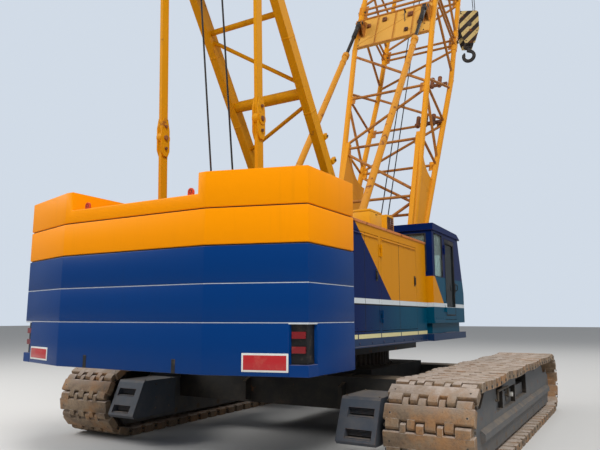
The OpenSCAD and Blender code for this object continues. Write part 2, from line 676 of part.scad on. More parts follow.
module cab_glass() color(glass_tint) {
    window_x(cab_x1 - cab_t / 2, quarter_window, seat_gap, pane_t);
    window_x(cab_x0 + cab_t / 2, left_window, seat_gap, pane_t);
    block(rear_window[0] + seat_gap, rear_window[1] - seat_gap, cab_y0 + 20, cab_y0 + 20 + pane_t,
        rear_window[2] + seat_gap, rear_window[3] - seat_gap);
    windscreen(cab_x0 + 70 + seat_gap, cab_x1 - 70 - seat_gap, screen_start + seat_gap * screen_dir,
        screen_l - 2 * seat_gap, 14, pane_t);
    block(cab_x0 + 120 + seat_gap, cab_x1 - 120 - seat_gap, cab_y1 - 30, cab_y1 - 30 + pane_t,
        cab_z0 + 150 + seat_gap, sill_z - 330 - seat_gap);
}
module operator_seat() color(dark) {
    block(cab_x0 + 230, cab_x1 - 230, 120, 420, cab_z0 + cab_t, cab_z0 + 350);
    block(cab_x0 + 180, cab_x1 - 180, 0, 520, cab_z0 + 350, cab_z0 + 480);
    block(cab_x0 + 200, cab_x1 - 200, -60, 60, cab_z0 + 480, cab_z0 + 1100);
}
// Cab door, hinged at its rear edge, glazed nearly to the floor
door_pane = [door_y0 + 90, door_y1 - 90, cab_door_z0 + 90, cab_door_z1 - 90];
module cab_door() color(teal) union() {
    difference() {
        block(cab_x1 - cab_t, cab_x1, door_y0 + door_gap, door_y1 - door_gap, cab_door_z0 + door_gap,
            cab_door_z1 - door_gap);
        window_x(cab_x1 - cab_t / 2, door_pane, 0, cab_t + 2 * past);
    }
    at_hinges(1, cab_x1, door_y0, cab_door_z0, cab_door_z1) hinge_moving();
}
module cab_door_glass() color(glass_tint) window_x(cab_x1 - cab_t / 2, door_pane, seat_gap, pane_t);

// Gantry: two inclined legs with cross tubes, held by the rear links
leg_w = 130;
leg_d = 210;
foot_point = [leg_foot_y, leg_foot_z];
apex_point = [apex_y, apex_z];
leg_l = norm(apex_point - foot_point);
function on_leg(k) = foot_point + k * (apex_point - foot_point);
apex_shaft_r = 60;
// Cross tubes: [share of the leg from its foot, radius]
cross_tubes = [[0.55, 90], [0.75, 45]];
// Diagonals between the legs: [side of the low end, low share, high share, radius]
leg_diagonals = [[-1, 0.425, 0.52, 32], [1, 0.575, 0.73, 32]];
module gantry_legs() color(orange) union() {
    difference() {
        for (s = sides) union() {
            flat_bar(s * leg_x, leg_w, on_leg(0), on_leg(1), leg_d);
            bar_x(s * leg_x - leg_w / 2 + 4, s * leg_x + leg_w / 2 - 4, leg_foot_y, leg_foot_z, 130);
            bar_x(s * leg_x - leg_w / 2 + 4, s * leg_x + leg_w / 2 - 4, apex_y, apex_z, 150);
        }
        bar_x(-frame_hw, frame_hw, leg_foot_y, leg_foot_z, small_pin_r + pin_gap);
    }
    for (t = cross_tubes) bar_x(-leg_x, leg_x, on_leg(t[0])[0], on_leg(t[0])[1], t[1]);
    for (d = leg_diagonals) bar([d[0] * (leg_x - 20), on_leg(d[1])[0], on_leg(d[1])[1]],
        [-d[0] * (leg_x - 20), on_leg(d[2])[0], on_leg(d[2])[1]], d[3]);
    bar_x(-frame_hw - 40, frame_hw + 40, apex_y, apex_z, apex_shaft_r);
}

// Rear links, outside the legs at the apex, folded at a pin for transport
link_foot = [apex_y + 180, link_foot_z];
link_w = 50;
link_d = 130;
link_eye_r = 110;
link_apex_r = 130;
fold_boss_r = 95;
fold_boss_past = 20;
link_vector = apex_point - link_foot;
link_fold_y = link_foot[0] + link_vector[0] * (link_fold_z - link_foot_z) / link_vector[1];
module link_outline() difference() {
    union() {
        translate(link_foot) rotate(atan2(link_vector[1], link_vector[0])) translate([0, -link_d / 2])
            square([norm(link_vector), link_d]);
        translate(link_foot) circle(link_eye_r, $fn = fine);
        translate(apex_point) circle(link_apex_r, $fn = fine);
    }
    translate(link_foot) circle(small_pin_r + pin_gap, $fn = fine);
    translate(apex_point) circle(apex_shaft_r + pin_gap, $fn = fine);
}
module gantry_links() color(steel_grey) for (s = sides) {
    side_plate(s * link_x - link_w / 2, s * link_x + link_w / 2) link_outline();
    bar_x(s * link_x - link_w / 2 - fold_boss_past, s * link_x + link_w / 2 + fold_boss_past, link_fold_y,
        link_fold_z, fold_boss_r);
}

// A grooved rope sheave on the X axis at x
module sheave(x, r, bore) translate([x, 0, 0]) rotate([0, 90, 0]) rotate_extrude($fn = fine)
    polygon([[bore, -32], [bore + 50, -32], [bore + 50, -12], [r - 70, -12], [r - 45, -30], [r, -30],
        [r - 55, -16], [r - 55, 16], [r, 30], [r - 45, 30], [r - 70, 12], [bore + 50, 12], [bore + 50, 32], [bore, 32]]);
module apex_sheaves() color(dark) translate([0, apex_y, apex_z]) for (x = [-330 : 66 : 330])
    sheave(x, apex_sheave_r, apex_shaft_r + pin_gap);

// Boom backstops: tubes hinged on the side plates, rods reaching to the boom
backstop_eye = [-boom_d / 2 - 285, base_l - straight_l + 680];
eye_point = [boom_foot_y, boom_foot_z]
    + [cos(boom_angle) * backstop_eye[1] + sin(boom_angle) * backstop_eye[0],
    sin(boom_angle) * backstop_eye[1] - cos(boom_angle) * backstop_eye[0]];
backstop_vector = eye_point - [backstop_y, backstop_z];
backstop_angle = atan2(backstop_vector[1], backstop_vector[0]);
backstop_eye_l = norm(backstop_vector);
backstop_tube_l = 6700;
backstop_r = 70;
backstop_bore_r = 50;
backstop_rod_r = 42;
rod_tail = 4700;
backstop_eye_r = 60;
module backstop_frame() for (s = sides) translate([s * backstop_x, backstop_y, backstop_z])
    rotate([backstop_angle - 90, 0, 0]) children();
module backstop_tubes() color(orange) backstop_frame() difference() {
    union() {
        cylinder(h = backstop_tube_l, r = backstop_r, $fn = fine);
        rotate([0, 90, 0]) cylinder(h = backstop_foot_w, r = 80, center = true, $fn = fine);
    }
    rotate([0, 90, 0]) cylinder(h = 200, r = small_pin_r + pin_gap, center = true, $fn = fine);
    translate([0, 0, rod_tail - 1000]) cylinder(h = backstop_tube_l, r = backstop_bore_r, $fn = fine);
}
module backstop_rods() color(dark) backstop_frame() {
    translate([0, 0, rod_tail]) cylinder(h = backstop_eye_l - rod_tail - 40, r = backstop_rod_r,
        $fn = fine);
    translate([0, 0, rod_tail]) cylinder(h = 80, r = backstop_bore_r - pin_gap, $fn = fine);
    translate([0, 0, backstop_eye_l]) rotate([0, 90, 0])
        cylinder(h = backstop_eye_w, r = backstop_eye_r, center = true, $fn = fine);
}

// Boom, drawn along z with its front face toward +y
module boom_frame() translate([0, boom_foot_y, boom_foot_z]) rotate([boom_angle - 90, 0, 0]) children();
foot_depth = 150;
foot_chord_x = 915;
taper_z0 = 600;
chord_z0 = 900;
head_half_depth = 380;
head_taper_l = 3000;
function taper_share(z) = min(1, (z - taper_z0) / (taper_l - taper_z0));
function half_width(z) = foot_chord_x + (boom_w / 2 - foot_chord_x) * taper_share(z);
function half_depth(z) = z < boom_l - head_taper_l ?
    foot_depth + (boom_d / 2 - foot_depth) * taper_share(z) :
    boom_d / 2 - (boom_d / 2 - head_half_depth) * (z - boom_l + head_taper_l) / (head_taper_l - 100);
function chord(sx, sy, z) = [sx * half_width(z), sy * half_depth(z), z];
lace_gap = 90;

// Battens across the four faces at height z, on the side faces only above side_from
module batten_ring(z, side_from = 0) for (s = sides) {
    bar(chord(-1, s, z), chord(1, s, z), lacing_r - 1);
    if (z > side_from) bar(chord(s, -1, z), chord(s, 1, z), lacing_r - 3);
}
// Lacing of one stretch: n cells with a diagonal in each face and battens between the cells
module lacing(z0, z1, n, side_from = 0) {
    cell = (z1 - z0) / n;
    for (i = [0 : n - 1]) {
        a = z0 + i * cell + lace_gap;
        b = z0 + (i + 1) * cell - lace_gap;
        flip = i % 2 == 0 ? 1 : -1;
        for (s = sides) {
            bar(chord(-flip, s, a), chord(flip, s, b), lacing_r);
            if (a > side_from) bar(chord(s, flip, a + lace_gap), chord(s, -flip, b - lace_gap), lacing_r);
        }
        if (i > 0) batten_ring(z0 + i * cell, side_from);
    }
}
module chords(z0, z1) for (sx = sides) for (sy = sides) bar(chord(sx, sy, z0), chord(sx, sy, z1), chord_r);
module straight_chords(z0, z1) for (sx = sides) for (sy = sides)
    bar([sx * boom_w / 2, sy * boom_d / 2, z0], [sx * boom_w / 2, sy * boom_d / 2, z1], chord_r);
// Balls round the kinks where a taper starts
module kinks(z) for (sx = sides) for (sy = sides) translate(chord(sx, sy, z)) sphere(r = chord_r + 5, $fn = fine);

// Cross plate on the rear face, with ears for the backstops: [low z, high z]
cross_plate_z = [taper_l + 25, base_l - 300];
ear_t = 26;
ear_gap = 6;
backstop_eye_w = 90;
module backstop_ears() for (s = sides) for (e = sides) {
    x = s * backstop_x + e * (backstop_eye_w / 2 + ear_gap + ear_t / 2);
    side_plate(x - ear_t / 2, x + ear_t / 2) polygon([[-boom_d / 2, backstop_eye[1] - 300],
        [backstop_eye[0] - 50, backstop_eye[1] - 70], [backstop_eye[0] - 50, backstop_eye[1] + 70],
        [-boom_d / 2, backstop_eye[1] + 300]]);
}
// Foot plates: deep from half-way up, with a gusset cut round along the rear chord
foot_plate_l = 4250;
foot_plate_bulge = [430, 1400];
foot_plate_lap = 45;
foot_cut = [250, foot_plate_l + 100, 750];
module foot_plate_outline() difference() {
    top_d = half_depth(foot_plate_l) + foot_plate_lap;
    union() {
        circle(r = foot_depth, $fn = fine);
        polygon([[-foot_depth, 0], [foot_depth, 0], foot_plate_bulge, [top_d, foot_plate_l],
            [-top_d, foot_plate_l], [-foot_plate_bulge[0], foot_plate_bulge[1]]]);
    }
    translate([foot_cut[0], foot_cut[1]]) circle(r = foot_cut[2], $fn = 96);
}
module boom_base() color(orange) boom_frame() difference() {
    union() {
        chords(chord_z0, taper_l);
        straight_chords(taper_l, base_l);
        kinks(taper_l);
        lacing(chord_z0 + 250, taper_l - 100, 4, foot_plate_l - 500);
        lacing(taper_l + 100, base_l - 200, 1);
        batten_ring(base_l - 110);
        block(-boom_w / 2, boom_w / 2, -boom_d / 2 - 15, -boom_d / 2 + 15, cross_plate_z[0],
            cross_plate_z[1]);
        backstop_ears();
        for (sx = sides)
            side_plate(sx * foot_plate_x - foot_plate_t / 2, sx * foot_plate_x + foot_plate_t / 2)
                foot_plate_outline();
        bar_x(-foot_plate_x, foot_plate_x, 0, 1000, 75);
    }
    bar_x(-2 * boom_w, 2 * boom_w, 0, 0, foot_pin_r + pin_gap);
}
module boom_insert() color(orange) boom_frame() {
    straight_chords(base_l, base_l + insert_l);
    lacing(base_l + 200, base_l + insert_l - 200, 6);
    batten_ring(base_l + 110);
    batten_ring(base_l + insert_l - 110);
}
head_z = boom_l;
stay_pin_y = -560;
// Bore for the foot pin of a jib
jib_pin_y = 120;
jib_pin_r = 38;
head_plate_x = [360, 400];
module boom_tip() color(orange) boom_frame() difference() {
    z0 = base_l + insert_l;
    union() {
        straight_chords(z0, boom_l - head_taper_l);
        chords(boom_l - head_taper_l, boom_l - 100);
        kinks(boom_l - head_taper_l);
        lacing(z0 + 200, boom_l - head_taper_l - 50, 2);
        lacing(boom_l - head_taper_l + 50, boom_l - 300, 2);
        batten_ring(z0 + 110);
        block(-boom_w / 2 - chord_r, boom_w / 2 + chord_r, -head_half_depth - chord_r,
            head_half_depth + chord_r, boom_l - 260, boom_l - 100);
        for (s = sides) side_plate(s > 0 ? head_plate_x[0] : -head_plate_x[1],
            s > 0 ? head_plate_x[1] : -head_plate_x[0])
            polygon([[-380, boom_l - 300], [300, boom_l - 300], [head_forward + 140, boom_l - 120],
                [head_forward + 140, boom_l + 120], [0, boom_l + 160], [stay_pin_y - 90, boom_l + 70],
                [stay_pin_y - 90, boom_l - 110]]);
        bar_x(-head_plate_x[1] - 20, head_plate_x[1] + 20, head_forward, head_z, 60);
    }
    bar_x(-boom_w, boom_w, stay_pin_y, boom_l - 20, small_pin_r);
    bar_x(-boom_w, boom_w, jib_pin_y, boom_l + 50, jib_pin_r);
}
module head_sheaves() color(dark) boom_frame() translate([0, head_forward, head_z])
    for (x = fall_xs) sheave(x, head_sheave_r, 60 + pin_gap);

// Main stays: two bars from the boom head to a spreader short of the apex
stay_from = [stay_pin_y, boom_l - 20];
stay_rest = [boom_foot_y, boom_foot_z] + [cos(boom_angle) * stay_from[1] + sin(boom_angle) * stay_from[0],
    sin(boom_angle) * stay_from[1] - cos(boom_angle) * stay_from[0]];
stay_dir = (apex_point - stay_rest) / norm(apex_point - stay_rest);
stay_short = 2600;
stay_l = norm(apex_point - stay_rest) - stay_short;
stay_end = stay_rest + stay_l * stay_dir;
stay_x = 480;
module pendants() color(dark) union() {
    for (s = sides) {
        bar([s * stay_x, stay_rest[0], stay_rest[1]] + 60 * [0, stay_dir[0], stay_dir[1]],
            [s * stay_x, stay_end[0], stay_end[1]], 26);
        bar_x(s * stay_x - 40, s * stay_x + 40, stay_rest[0], stay_rest[1], 80);
    }
    bar_x(-stay_x, stay_x, stay_rest[0], stay_rest[1], small_pin_r - pin_gap);
    bar_x(-stay_x - 60, stay_x + 60, stay_end[0], stay_end[1], 70);
}

// Hoist falls from the head sheaves straight down to the block
fall_xs = [-210, -70, 70, 210];
groove_r = 55 - rope_r - seat_gap;
head_axis = [boom_foot_y, boom_foot_z] + [cos(boom_angle) * head_z + sin(boom_angle) * head_forward,
    sin(boom_angle) * head_z - cos(boom_angle) * head_forward];
fall_y = head_axis[0] + head_sheave_r - groove_r;
block_z = head_axis[1] - fall_l;
block_rope_r = block_sheave_r - groove_r;
// Each fall leaves the head straight down, then runs skew to the turned block
fall_head_l = 700;
fall_block_l = 800;
function turned(x, y) = [x * cos(block_turn) - y * sin(block_turn),
    fall_y + x * sin(block_turn) + y * cos(block_turn)];
module hoist_falls() color(dark) for (i = [0 : 3]) {
    low = turned(fall_xs[i], (i % 2 == 0 ? 1 : -1) * block_rope_r);
    path = [[fall_xs[i], fall_y, head_axis[1]], [fall_xs[i], fall_y, head_axis[1] - fall_head_l],
        [low[0], low[1], block_z + fall_block_l], [low[0], low[1], block_z]];
    for (k = [0 : 2]) bar(path[k], path[k + 1], rope_r);
    for (k = [1, 2]) translate(path[k]) sphere(r = rope_r + 1, $fn = fine);
}

// Hook block: cheek plates, sheaves and crosshead
cheek_x = [290, 340];
block_bottom = block_z - 760;
module hook_block() color(orange) translate([0, fall_y, 0]) rotate([0, 0, block_turn]) union() {
    for (s = sides) side_plate(s > 0 ? cheek_x[0] : -cheek_x[1], s > 0 ? cheek_x[1] : -cheek_x[0])
        translate([0, block_z]) polygon([[-370, -200], [-190, -760], [190, -760], [370, -200], [370, 500],
            [300, 560], [-300, 560], [-370, 500]]);
    bar_x(-cheek_x[1] - 25, cheek_x[1] + 25, 0, block_z, 60);
    for (x = fall_xs) translate([0, 0, block_z]) sheave(x, block_sheave_r, 55);
    difference() {
        block(-cheek_x[0] - 5, cheek_x[0] + 5, -130, 130, block_bottom + 30, block_bottom + 200);
        translate([0, 0, block_bottom]) cylinder(h = 400, r = shank_r + pin_gap, $fn = fine);
    }
}
// Hook: a shank and nut in the crosshead, a curved body and a tapered point
hook_r = 200;
hook_t = 68;
shank_r = 75;
shank_l = 230;
bowl_z = -shank_l - hook_r;
point_angle = -200;
module hook() color(steel_grey) translate([0, fall_y, block_bottom + 30]) union() {
    translate([0, 0, -shank_l - 20]) cylinder(h = shank_l + 20 + 230, r = shank_r, $fn = fine);
    translate([0, 0, 170 + seat_gap]) cylinder(h = 60, r = 120, $fn = fine);
    translate([0, 0, bowl_z]) rotate([90, 0, 0]) {
        rotate([0, 0, point_angle]) rotate_extrude(angle = 90 - point_angle, $fn = 96)
            translate([hook_r, 0]) circle(r = hook_t, $fn = fine);
        translate([hook_r * cos(point_angle), hook_r * sin(point_angle), 0]) rotate([0, 90,
            point_angle - 90])
            translate([0, 0, -8]) cylinder(h = 90, r1 = hook_t - 8, r2 = 30, $fn = fine);
    }
}

carbody();
slew_gear();
track_frames();
track_left();
track_right();
sprockets();
idlers();
rollers();
travel_drives();
revolving_frame();
side_decks();
engine();
left_house();
right_house();
house_roofs();
left_door_rear();
left_door_front();
right_door_rear();
right_door_front();
counterweight_base();
counterweight_slab_2();
counterweight_slab_3();
counterweight_slab_4();
counterweight_slab_5();
lamp_housings();
tail_lamps();
roof_boxes();
cab_shell();
cab_glass();
operator_seat();
cab_door();
cab_door_glass();
main_drum();
boom_hoist_drum();
gantry_legs();
gantry_links();
apex_sheaves();
backstop_tubes();
backstop_rods();
boom_base();
boom_insert();
boom_tip();
head_sheaves();
pendants();
hoist_falls();
hook_block();
hook();
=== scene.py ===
"""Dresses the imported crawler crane: new pieces, procedural finishes, camera and light."""

import itertools
import logging
import math
from dataclasses import dataclass, field
from enum import Enum
from typing import Callable, Iterable, Sequence

import bmesh
import bpy
from mathutils import Matrix, Vector


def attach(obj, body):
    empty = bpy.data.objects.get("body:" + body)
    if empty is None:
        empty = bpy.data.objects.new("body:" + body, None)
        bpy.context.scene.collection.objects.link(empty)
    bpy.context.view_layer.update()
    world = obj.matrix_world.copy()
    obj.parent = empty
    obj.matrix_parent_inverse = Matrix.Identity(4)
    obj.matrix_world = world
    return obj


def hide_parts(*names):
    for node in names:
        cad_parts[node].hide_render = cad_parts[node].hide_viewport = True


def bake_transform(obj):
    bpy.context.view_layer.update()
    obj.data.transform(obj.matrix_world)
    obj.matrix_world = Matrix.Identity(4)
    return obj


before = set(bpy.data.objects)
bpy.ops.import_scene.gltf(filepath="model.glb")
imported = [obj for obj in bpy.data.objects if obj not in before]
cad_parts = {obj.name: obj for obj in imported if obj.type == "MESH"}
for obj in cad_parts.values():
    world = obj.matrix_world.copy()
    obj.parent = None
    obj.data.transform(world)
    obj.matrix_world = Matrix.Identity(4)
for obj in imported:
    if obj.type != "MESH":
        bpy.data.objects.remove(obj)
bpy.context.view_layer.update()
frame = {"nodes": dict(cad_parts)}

LOG = logging.getLogger("crane")
Point = tuple[float, float, float]
Pair = tuple[float, float]
SIDES = (-1, 1)


class Body(Enum):
    """The moving bodies that pieces ride on."""

    LOWER = "lower_works"
    UPPER = "upper_works"
    BOOM = "boom"
    LEFT_REAR_DOOR = "left_door_rear"
    LEFT_FRONT_DOOR = "left_door_front"
    RIGHT_REAR_DOOR = "right_door_rear"
    RIGHT_FRONT_DOOR = "right_door_front"
    CAB_DOOR = "cab_door"
    MAIN_DRUM = "main_drum"
    HOIST_DRUM = "boom_hoist_drum"
    BACKSTOP_TUBES = "backstop_tubes"
    BACKSTOP_RODS = "backstop_rods"
    FALLS = "falls"
    HOOK = "hook"


class Axis(Enum):
    """An axis of the shared frame."""

    X = 0
    Y = 1
    Z = 2


def rgb(red: int, green: int, blue: int) -> Point:
    """Turns a display colour into the linear colour that shaders take.

    Args:
        red: Red, 0 to 255.
        green: Green, 0 to 255.
        blue: Blue, 0 to 255.

    Returns:
        The linear colour.
    """
    def linear(value: int) -> float:
        """Linear value of one channel."""
        share = value / 255
        return share / 12.92 if share <= 0.04045 else ((share + 0.055) / 1.055) ** 2.4

    return (linear(red), linear(green), linear(blue))


# Node graphs


class Graph:
    """Adds nodes to one node tree and wires them."""

    def __init__(self, tree: bpy.types.NodeTree) -> None:
        """Starts on an existing tree."""
        self.tree = tree
        self.owner: bpy.types.Material | None = None

    def add(self, kind: str, **values: object) -> bpy.types.Node:
        """Adds a node and sets its attributes and inputs.

        Args:
            kind: Node type name without its prefix.
            values: Attributes by name, or inputs by name with spaces as underscores.

        Returns:
            The new node.
        """
        node = self.tree.nodes.new("ShaderNode" + kind)
        for key, value in values.items():
            if key.startswith("in_"):
                name = key[3:]
                socket = node.inputs[int(name)] if name.isdigit() else node.inputs[name.replace("_", " ")]
                self.feed(socket, value)
            else:
                setattr(node, key, value)
        return node

    def feed(self, socket: bpy.types.NodeSocket, value: object) -> None:
        """Links a socket into another, or sets its plain value.

        Args:
            socket: Input that gets the value.
            value: A socket to link, or a plain value.
        """
        if isinstance(value, bpy.types.NodeSocket):
            self.tree.links.new(value, socket)
        elif isinstance(value, tuple) and len(value) == 3 and socket.type == "RGBA":
            socket.default_value = (*value, 1.0)
        else:
            socket.default_value = value

    def math(self, operation: str, *terms: object, clamp: bool = False) -> bpy.types.NodeSocket:
        """Adds a math node.

        Args:
            operation: Math operation.
            terms: Sockets or numbers.
            clamp: Whether the result is held between 0 and 1.

        Returns:
            The value socket.
        """
        node = self.add("Math", operation=operation, use_clamp=clamp)
        for index, term in enumerate(terms):
            self.feed(node.inputs[index], term)
        return node.outputs[0]

    def mix(self, share: object, low: object, high: object, blend: str = "MIX") -> bpy.types.NodeSocket:
        """Mixes two colours by a share.

        Args:
            share: Share of the second colour.
            low: First colour.
            high: Second colour.
            blend: How they are blended.

        Returns:
            The mixed colour.
        """
        node = self.add("Mix", data_type="RGBA", blend_type=blend)
        self.feed(node.inputs[0], share)
        self.feed(node.inputs[6], low)
        self.feed(node.inputs[7], high)
        return node.outputs[2]

    def span(self, value: object, low: object, high: object, to_low: float = 0.0,
             to_high: float = 1.0, smooth: bool = True) -> bpy.types.NodeSocket:
        """Maps low..high to to_low..to_high, held at the ends.

        Args:
            value: Value to map.
            low: Start of its range.
            high: End of its range.
            to_low: Result at the start.
            to_high: Result at the end.
            smooth: Whether it eases in and out.

        Returns:
            The mapped value.
        """
        node = self.add("MapRange", interpolation_type="SMOOTHSTEP" if smooth else "LINEAR")
        for index, term in enumerate((value, low, high, to_low, to_high)):
            self.feed(node.inputs[index], term)
        return node.outputs[0]

    def noise(self, vector: object, scale: object, detail: float = 3.0,
              rough: float = 0.55) -> bpy.types.NodeSocket:
        """Adds noise and gives its grey value."""
        node = self.add("TexNoise", in_Vector=vector, in_Scale=scale, in_Detail=detail, in_Roughness=rough)
        return node.outputs[0]

    def place(self, scale: Point = (1, 1, 1), turn: Point = (0, 0, 0),
              shift: Point = (0, 0, 0)) -> bpy.types.NodeSocket:
        """Object coordinates, scaled, turned and shifted.

        Args:
            scale: Scale along each axis.
            turn: Turn about each axis.
            shift: Shift along each axis.

        Returns:
            The coordinates.
        """
        coords = self.add("TexCoord")
        node = self.add("Mapping", in_Vector=coords.outputs["Object"])
        node.inputs["Scale"].default_value = scale
        node.inputs["Rotation"].default_value = turn
        node.inputs["Location"].default_value = shift
        return node.outputs[0]

    def parts(self, vector: bpy.types.NodeSocket) -> tuple[bpy.types.NodeSocket, ...]:
        """Splits a vector into its three values."""
        node = self.add("SeparateXYZ", in_Vector=vector)
        return (node.outputs[0], node.outputs[1], node.outputs[2])

    def slant(self, height: object, low: Pair, high: Pair) -> bpy.types.NodeSocket:
        """Where a slanted edge through two (length, height) points is at a height."""
        slope = (high[0] - low[0]) / (high[1] - low[1])
        return self.math("MULTIPLY_ADD", height, slope, low[0] - slope * low[1])

    def step(self, value: object, edge: object, soft: float = 0.004) -> bpy.types.NodeSocket:
        """0 below an edge and 1 above it."""
        low = self.math("SUBTRACT", value, edge)
        return self.span(low, -soft, soft)

    def band(self, value: object, low: float, high: float, soft: float = 0.004) -> bpy.types.NodeSocket:
        """1 between two edges and 0 outside them.

        Args:
            value: Value to test.
            low: Lower edge.
            high: Upper edge.
            soft: Width of each edge.

        Returns:
            The band's mask.
        """
        above = self.step(value, low, soft)
        below = self.math("SUBTRACT", 1.0, self.step(value, high, soft))
        return self.math("MULTIPLY", above, below)

    def bump(self, height: object, strength: float, distance: float) -> bpy.types.NodeSocket:
        """Adds a bump node for a height."""
        return self.add("Bump", in_Height=height, in_Strength=strength, in_Distance=distance).outputs[0]

    def surface(self, **values: object) -> bpy.types.Material:
        """Adds the shader with its inputs, and wires it to the material's output.

        Args:
            values: Shader inputs by name with spaces as underscores, after in_.

        Returns:
            The material.
        """
        shader = self.add("BsdfPrincipled", **values)
        self.add("OutputMaterial", in_Surface=shader.outputs[0])
        return self.owner


class Effects:
    """Shared node groups that give weathering masks and heights."""

    def __init__(self) -> None:
        """Builds each group once."""
        self.streaks = self._streaks()
        self.wear = self._wear()
        self.dust = self._dust()
        self.grain = self._grain()
        self.rust = self._rust()

    @staticmethod
    def _start(name: str, inputs: dict[str, float],
               output: str) -> tuple[Graph, bpy.types.Node, bpy.types.Node]:
        """Makes an empty group with float inputs and one output.

        Args:
            name: Group name.
            inputs: Input names with their values.
            output: Output name; one that ends in Colour is a colour.

        Returns:
            The graph, the group's input node and its output node.
        """
        tree = bpy.data.node_groups.new(name, "ShaderNodeTree")
        for key, value in inputs.items():
            socket = tree.interface.new_socket(key, in_out="INPUT", socket_type="NodeSocketFloat")
            socket.default_value = value
        kind = "NodeSocketColor" if output.endswith("Colour") else "NodeSocketFloat"
        tree.interface.new_socket(output, in_out="OUTPUT", socket_type=kind)
        return Graph(tree), tree.nodes.new("NodeGroupInput"), tree.nodes.new("NodeGroupOutput")

    def _streaks(self) -> bpy.types.NodeTree:
        """Dirt that has run down a wall.

        Returns:
            The mask as a group.
        """
        graph, given, result = self._start("rain_streaks", {"Scale": 9.0, "Amount": 0.3}, "Mask")
        thin = graph.noise(graph.place(scale=(1, 1, 0.06)), given.outputs["Scale"], 4.0, 0.7)
        patch = graph.noise(graph.place(shift=(3, 1, 7)), 0.9, 3.0, 0.6)
        lines = graph.span(thin, 0.5, 0.78)
        areas = graph.span(patch, 0.35, 0.7)
        both = graph.math("MULTIPLY", lines, areas)
        mask = graph.math("MULTIPLY", both, given.outputs["Amount"], clamp=True)
        graph.feed(result.inputs[0], mask)
        return graph.tree

    def _wear(self) -> bpy.types.NodeTree:
        """Rubbed and chipped outer edges; on the track shoes this also lays a painted highlight.

        Returns:
            The mask as a group.
        """
        inputs = {"Radius": 0.012, "Amount": 0.5, "Scale": 14.0}
        graph, given, result = self._start("edge_wear_and_highlight", inputs, "Mask")
        round_off = graph.add("Bevel", samples=4, in_Radius=given.outputs["Radius"])
        surface = graph.add("NewGeometry")
        dot = graph.add("VectorMath", operation="DOT_PRODUCT")
        graph.feed(dot.inputs[0], round_off.outputs[0])
        graph.feed(dot.inputs[1], surface.outputs["Normal"])
        edge = graph.span(dot.outputs["Value"], 0.99, 0.86)
        patch = graph.span(graph.noise(graph.place(), given.outputs["Scale"], 5.0, 0.7), 0.42, 0.62)
        both = graph.math("MULTIPLY", edge, patch)
        mask = graph.math("MULTIPLY", both, given.outputs["Amount"], clamp=True)
        graph.feed(result.inputs[0], mask)
        return graph.tree

    def _dust(self) -> bpy.types.NodeTree:
        """Dust on faces that look up, and thicker near the ground; on the track shoes the pale top is also
        painted light from above.

        Returns:
            The mask as a group.
        """
        graph, given, result = self._start("settled_dust_and_top_light", {"Top": 0.4, "Low": 0.3, "Height": 1.5}, "Mask")
        surface = graph.add("NewGeometry")
        up = graph.parts(surface.outputs["Normal"])[2]
        flat = graph.span(up, 0.3, 0.95)
        coords = graph.place()
        height = graph.parts(coords)[2]
        near = graph.span(height, given.outputs["Height"], 0.0)
        speckle = graph.span(graph.noise(coords, 5.0, 6.0, 0.7), 0.3, 0.75)
        top = graph.math("MULTIPLY", flat, given.outputs["Top"])
        low = graph.math("MULTIPLY", near, given.outputs["Low"])
        both = graph.math("ADD", top, low)
        mask = graph.math("MULTIPLY", both, graph.math("ADD", speckle, 0.35), clamp=True)
        graph.feed(result.inputs[0], mask)
        return graph.tree

    def _grain(self) -> bpy.types.NodeTree:
        """Fine unevenness of a surface, as a height.

        Returns:
            The height as a group.
        """
        graph, given, result = self._start("surface_grain", {"Scale": 30.0, "Coarse": 0.5}, "Height")
        coords = graph.place()
        fine = graph.noise(coords, given.outputs["Scale"], 4.0, 0.65)
        wave = graph.noise(coords, 1.6, 2.0, 0.5)
        graph.feed(result.inputs[0], graph.math("MULTIPLY_ADD", wave, given.outputs["Coarse"], fine))
        return graph.tree

    def _rust(self) -> bpy.types.NodeTree:
        """Patches of rust.

        Returns:
            The mask as a group.
        """
        graph, given, result = self._start("rust_patches", {"Scale": 6.0, "Amount": 0.3}, "Mask")
        coords = graph.place(shift=(11, 4, 2))
        field = graph.noise(coords, given.outputs["Scale"], 8.0, 0.72)
        low = graph.math("SUBTRACT", 0.78, graph.math("MULTIPLY", given.outputs["Amount"], 0.5))
        high = graph.math("ADD", low, 0.1)
        graph.feed(result.inputs[0], graph.span(field, low, high))
        return graph.tree

    def use(self, graph: Graph, group: bpy.types.NodeTree, **values: object) -> bpy.types.NodeSocket:
        """Places a group in a graph.

        Args:
            graph: The graph to place it in.
            group: The group.
            values: Input values by name.

        Returns:
            The group's only output.
        """
        node = graph.add("Group", node_tree=group)
        for key, value in values.items():
            graph.feed(node.inputs[key], value)
        return node.outputs[0]


# Finishes

RUST = rgb(104, 58, 32)
RUST_PALE = rgb(150, 92, 50)
DUST = rgb(168, 146, 118)
GRIME = rgb(38, 36, 34)
BARE = rgb(120, 118, 114)


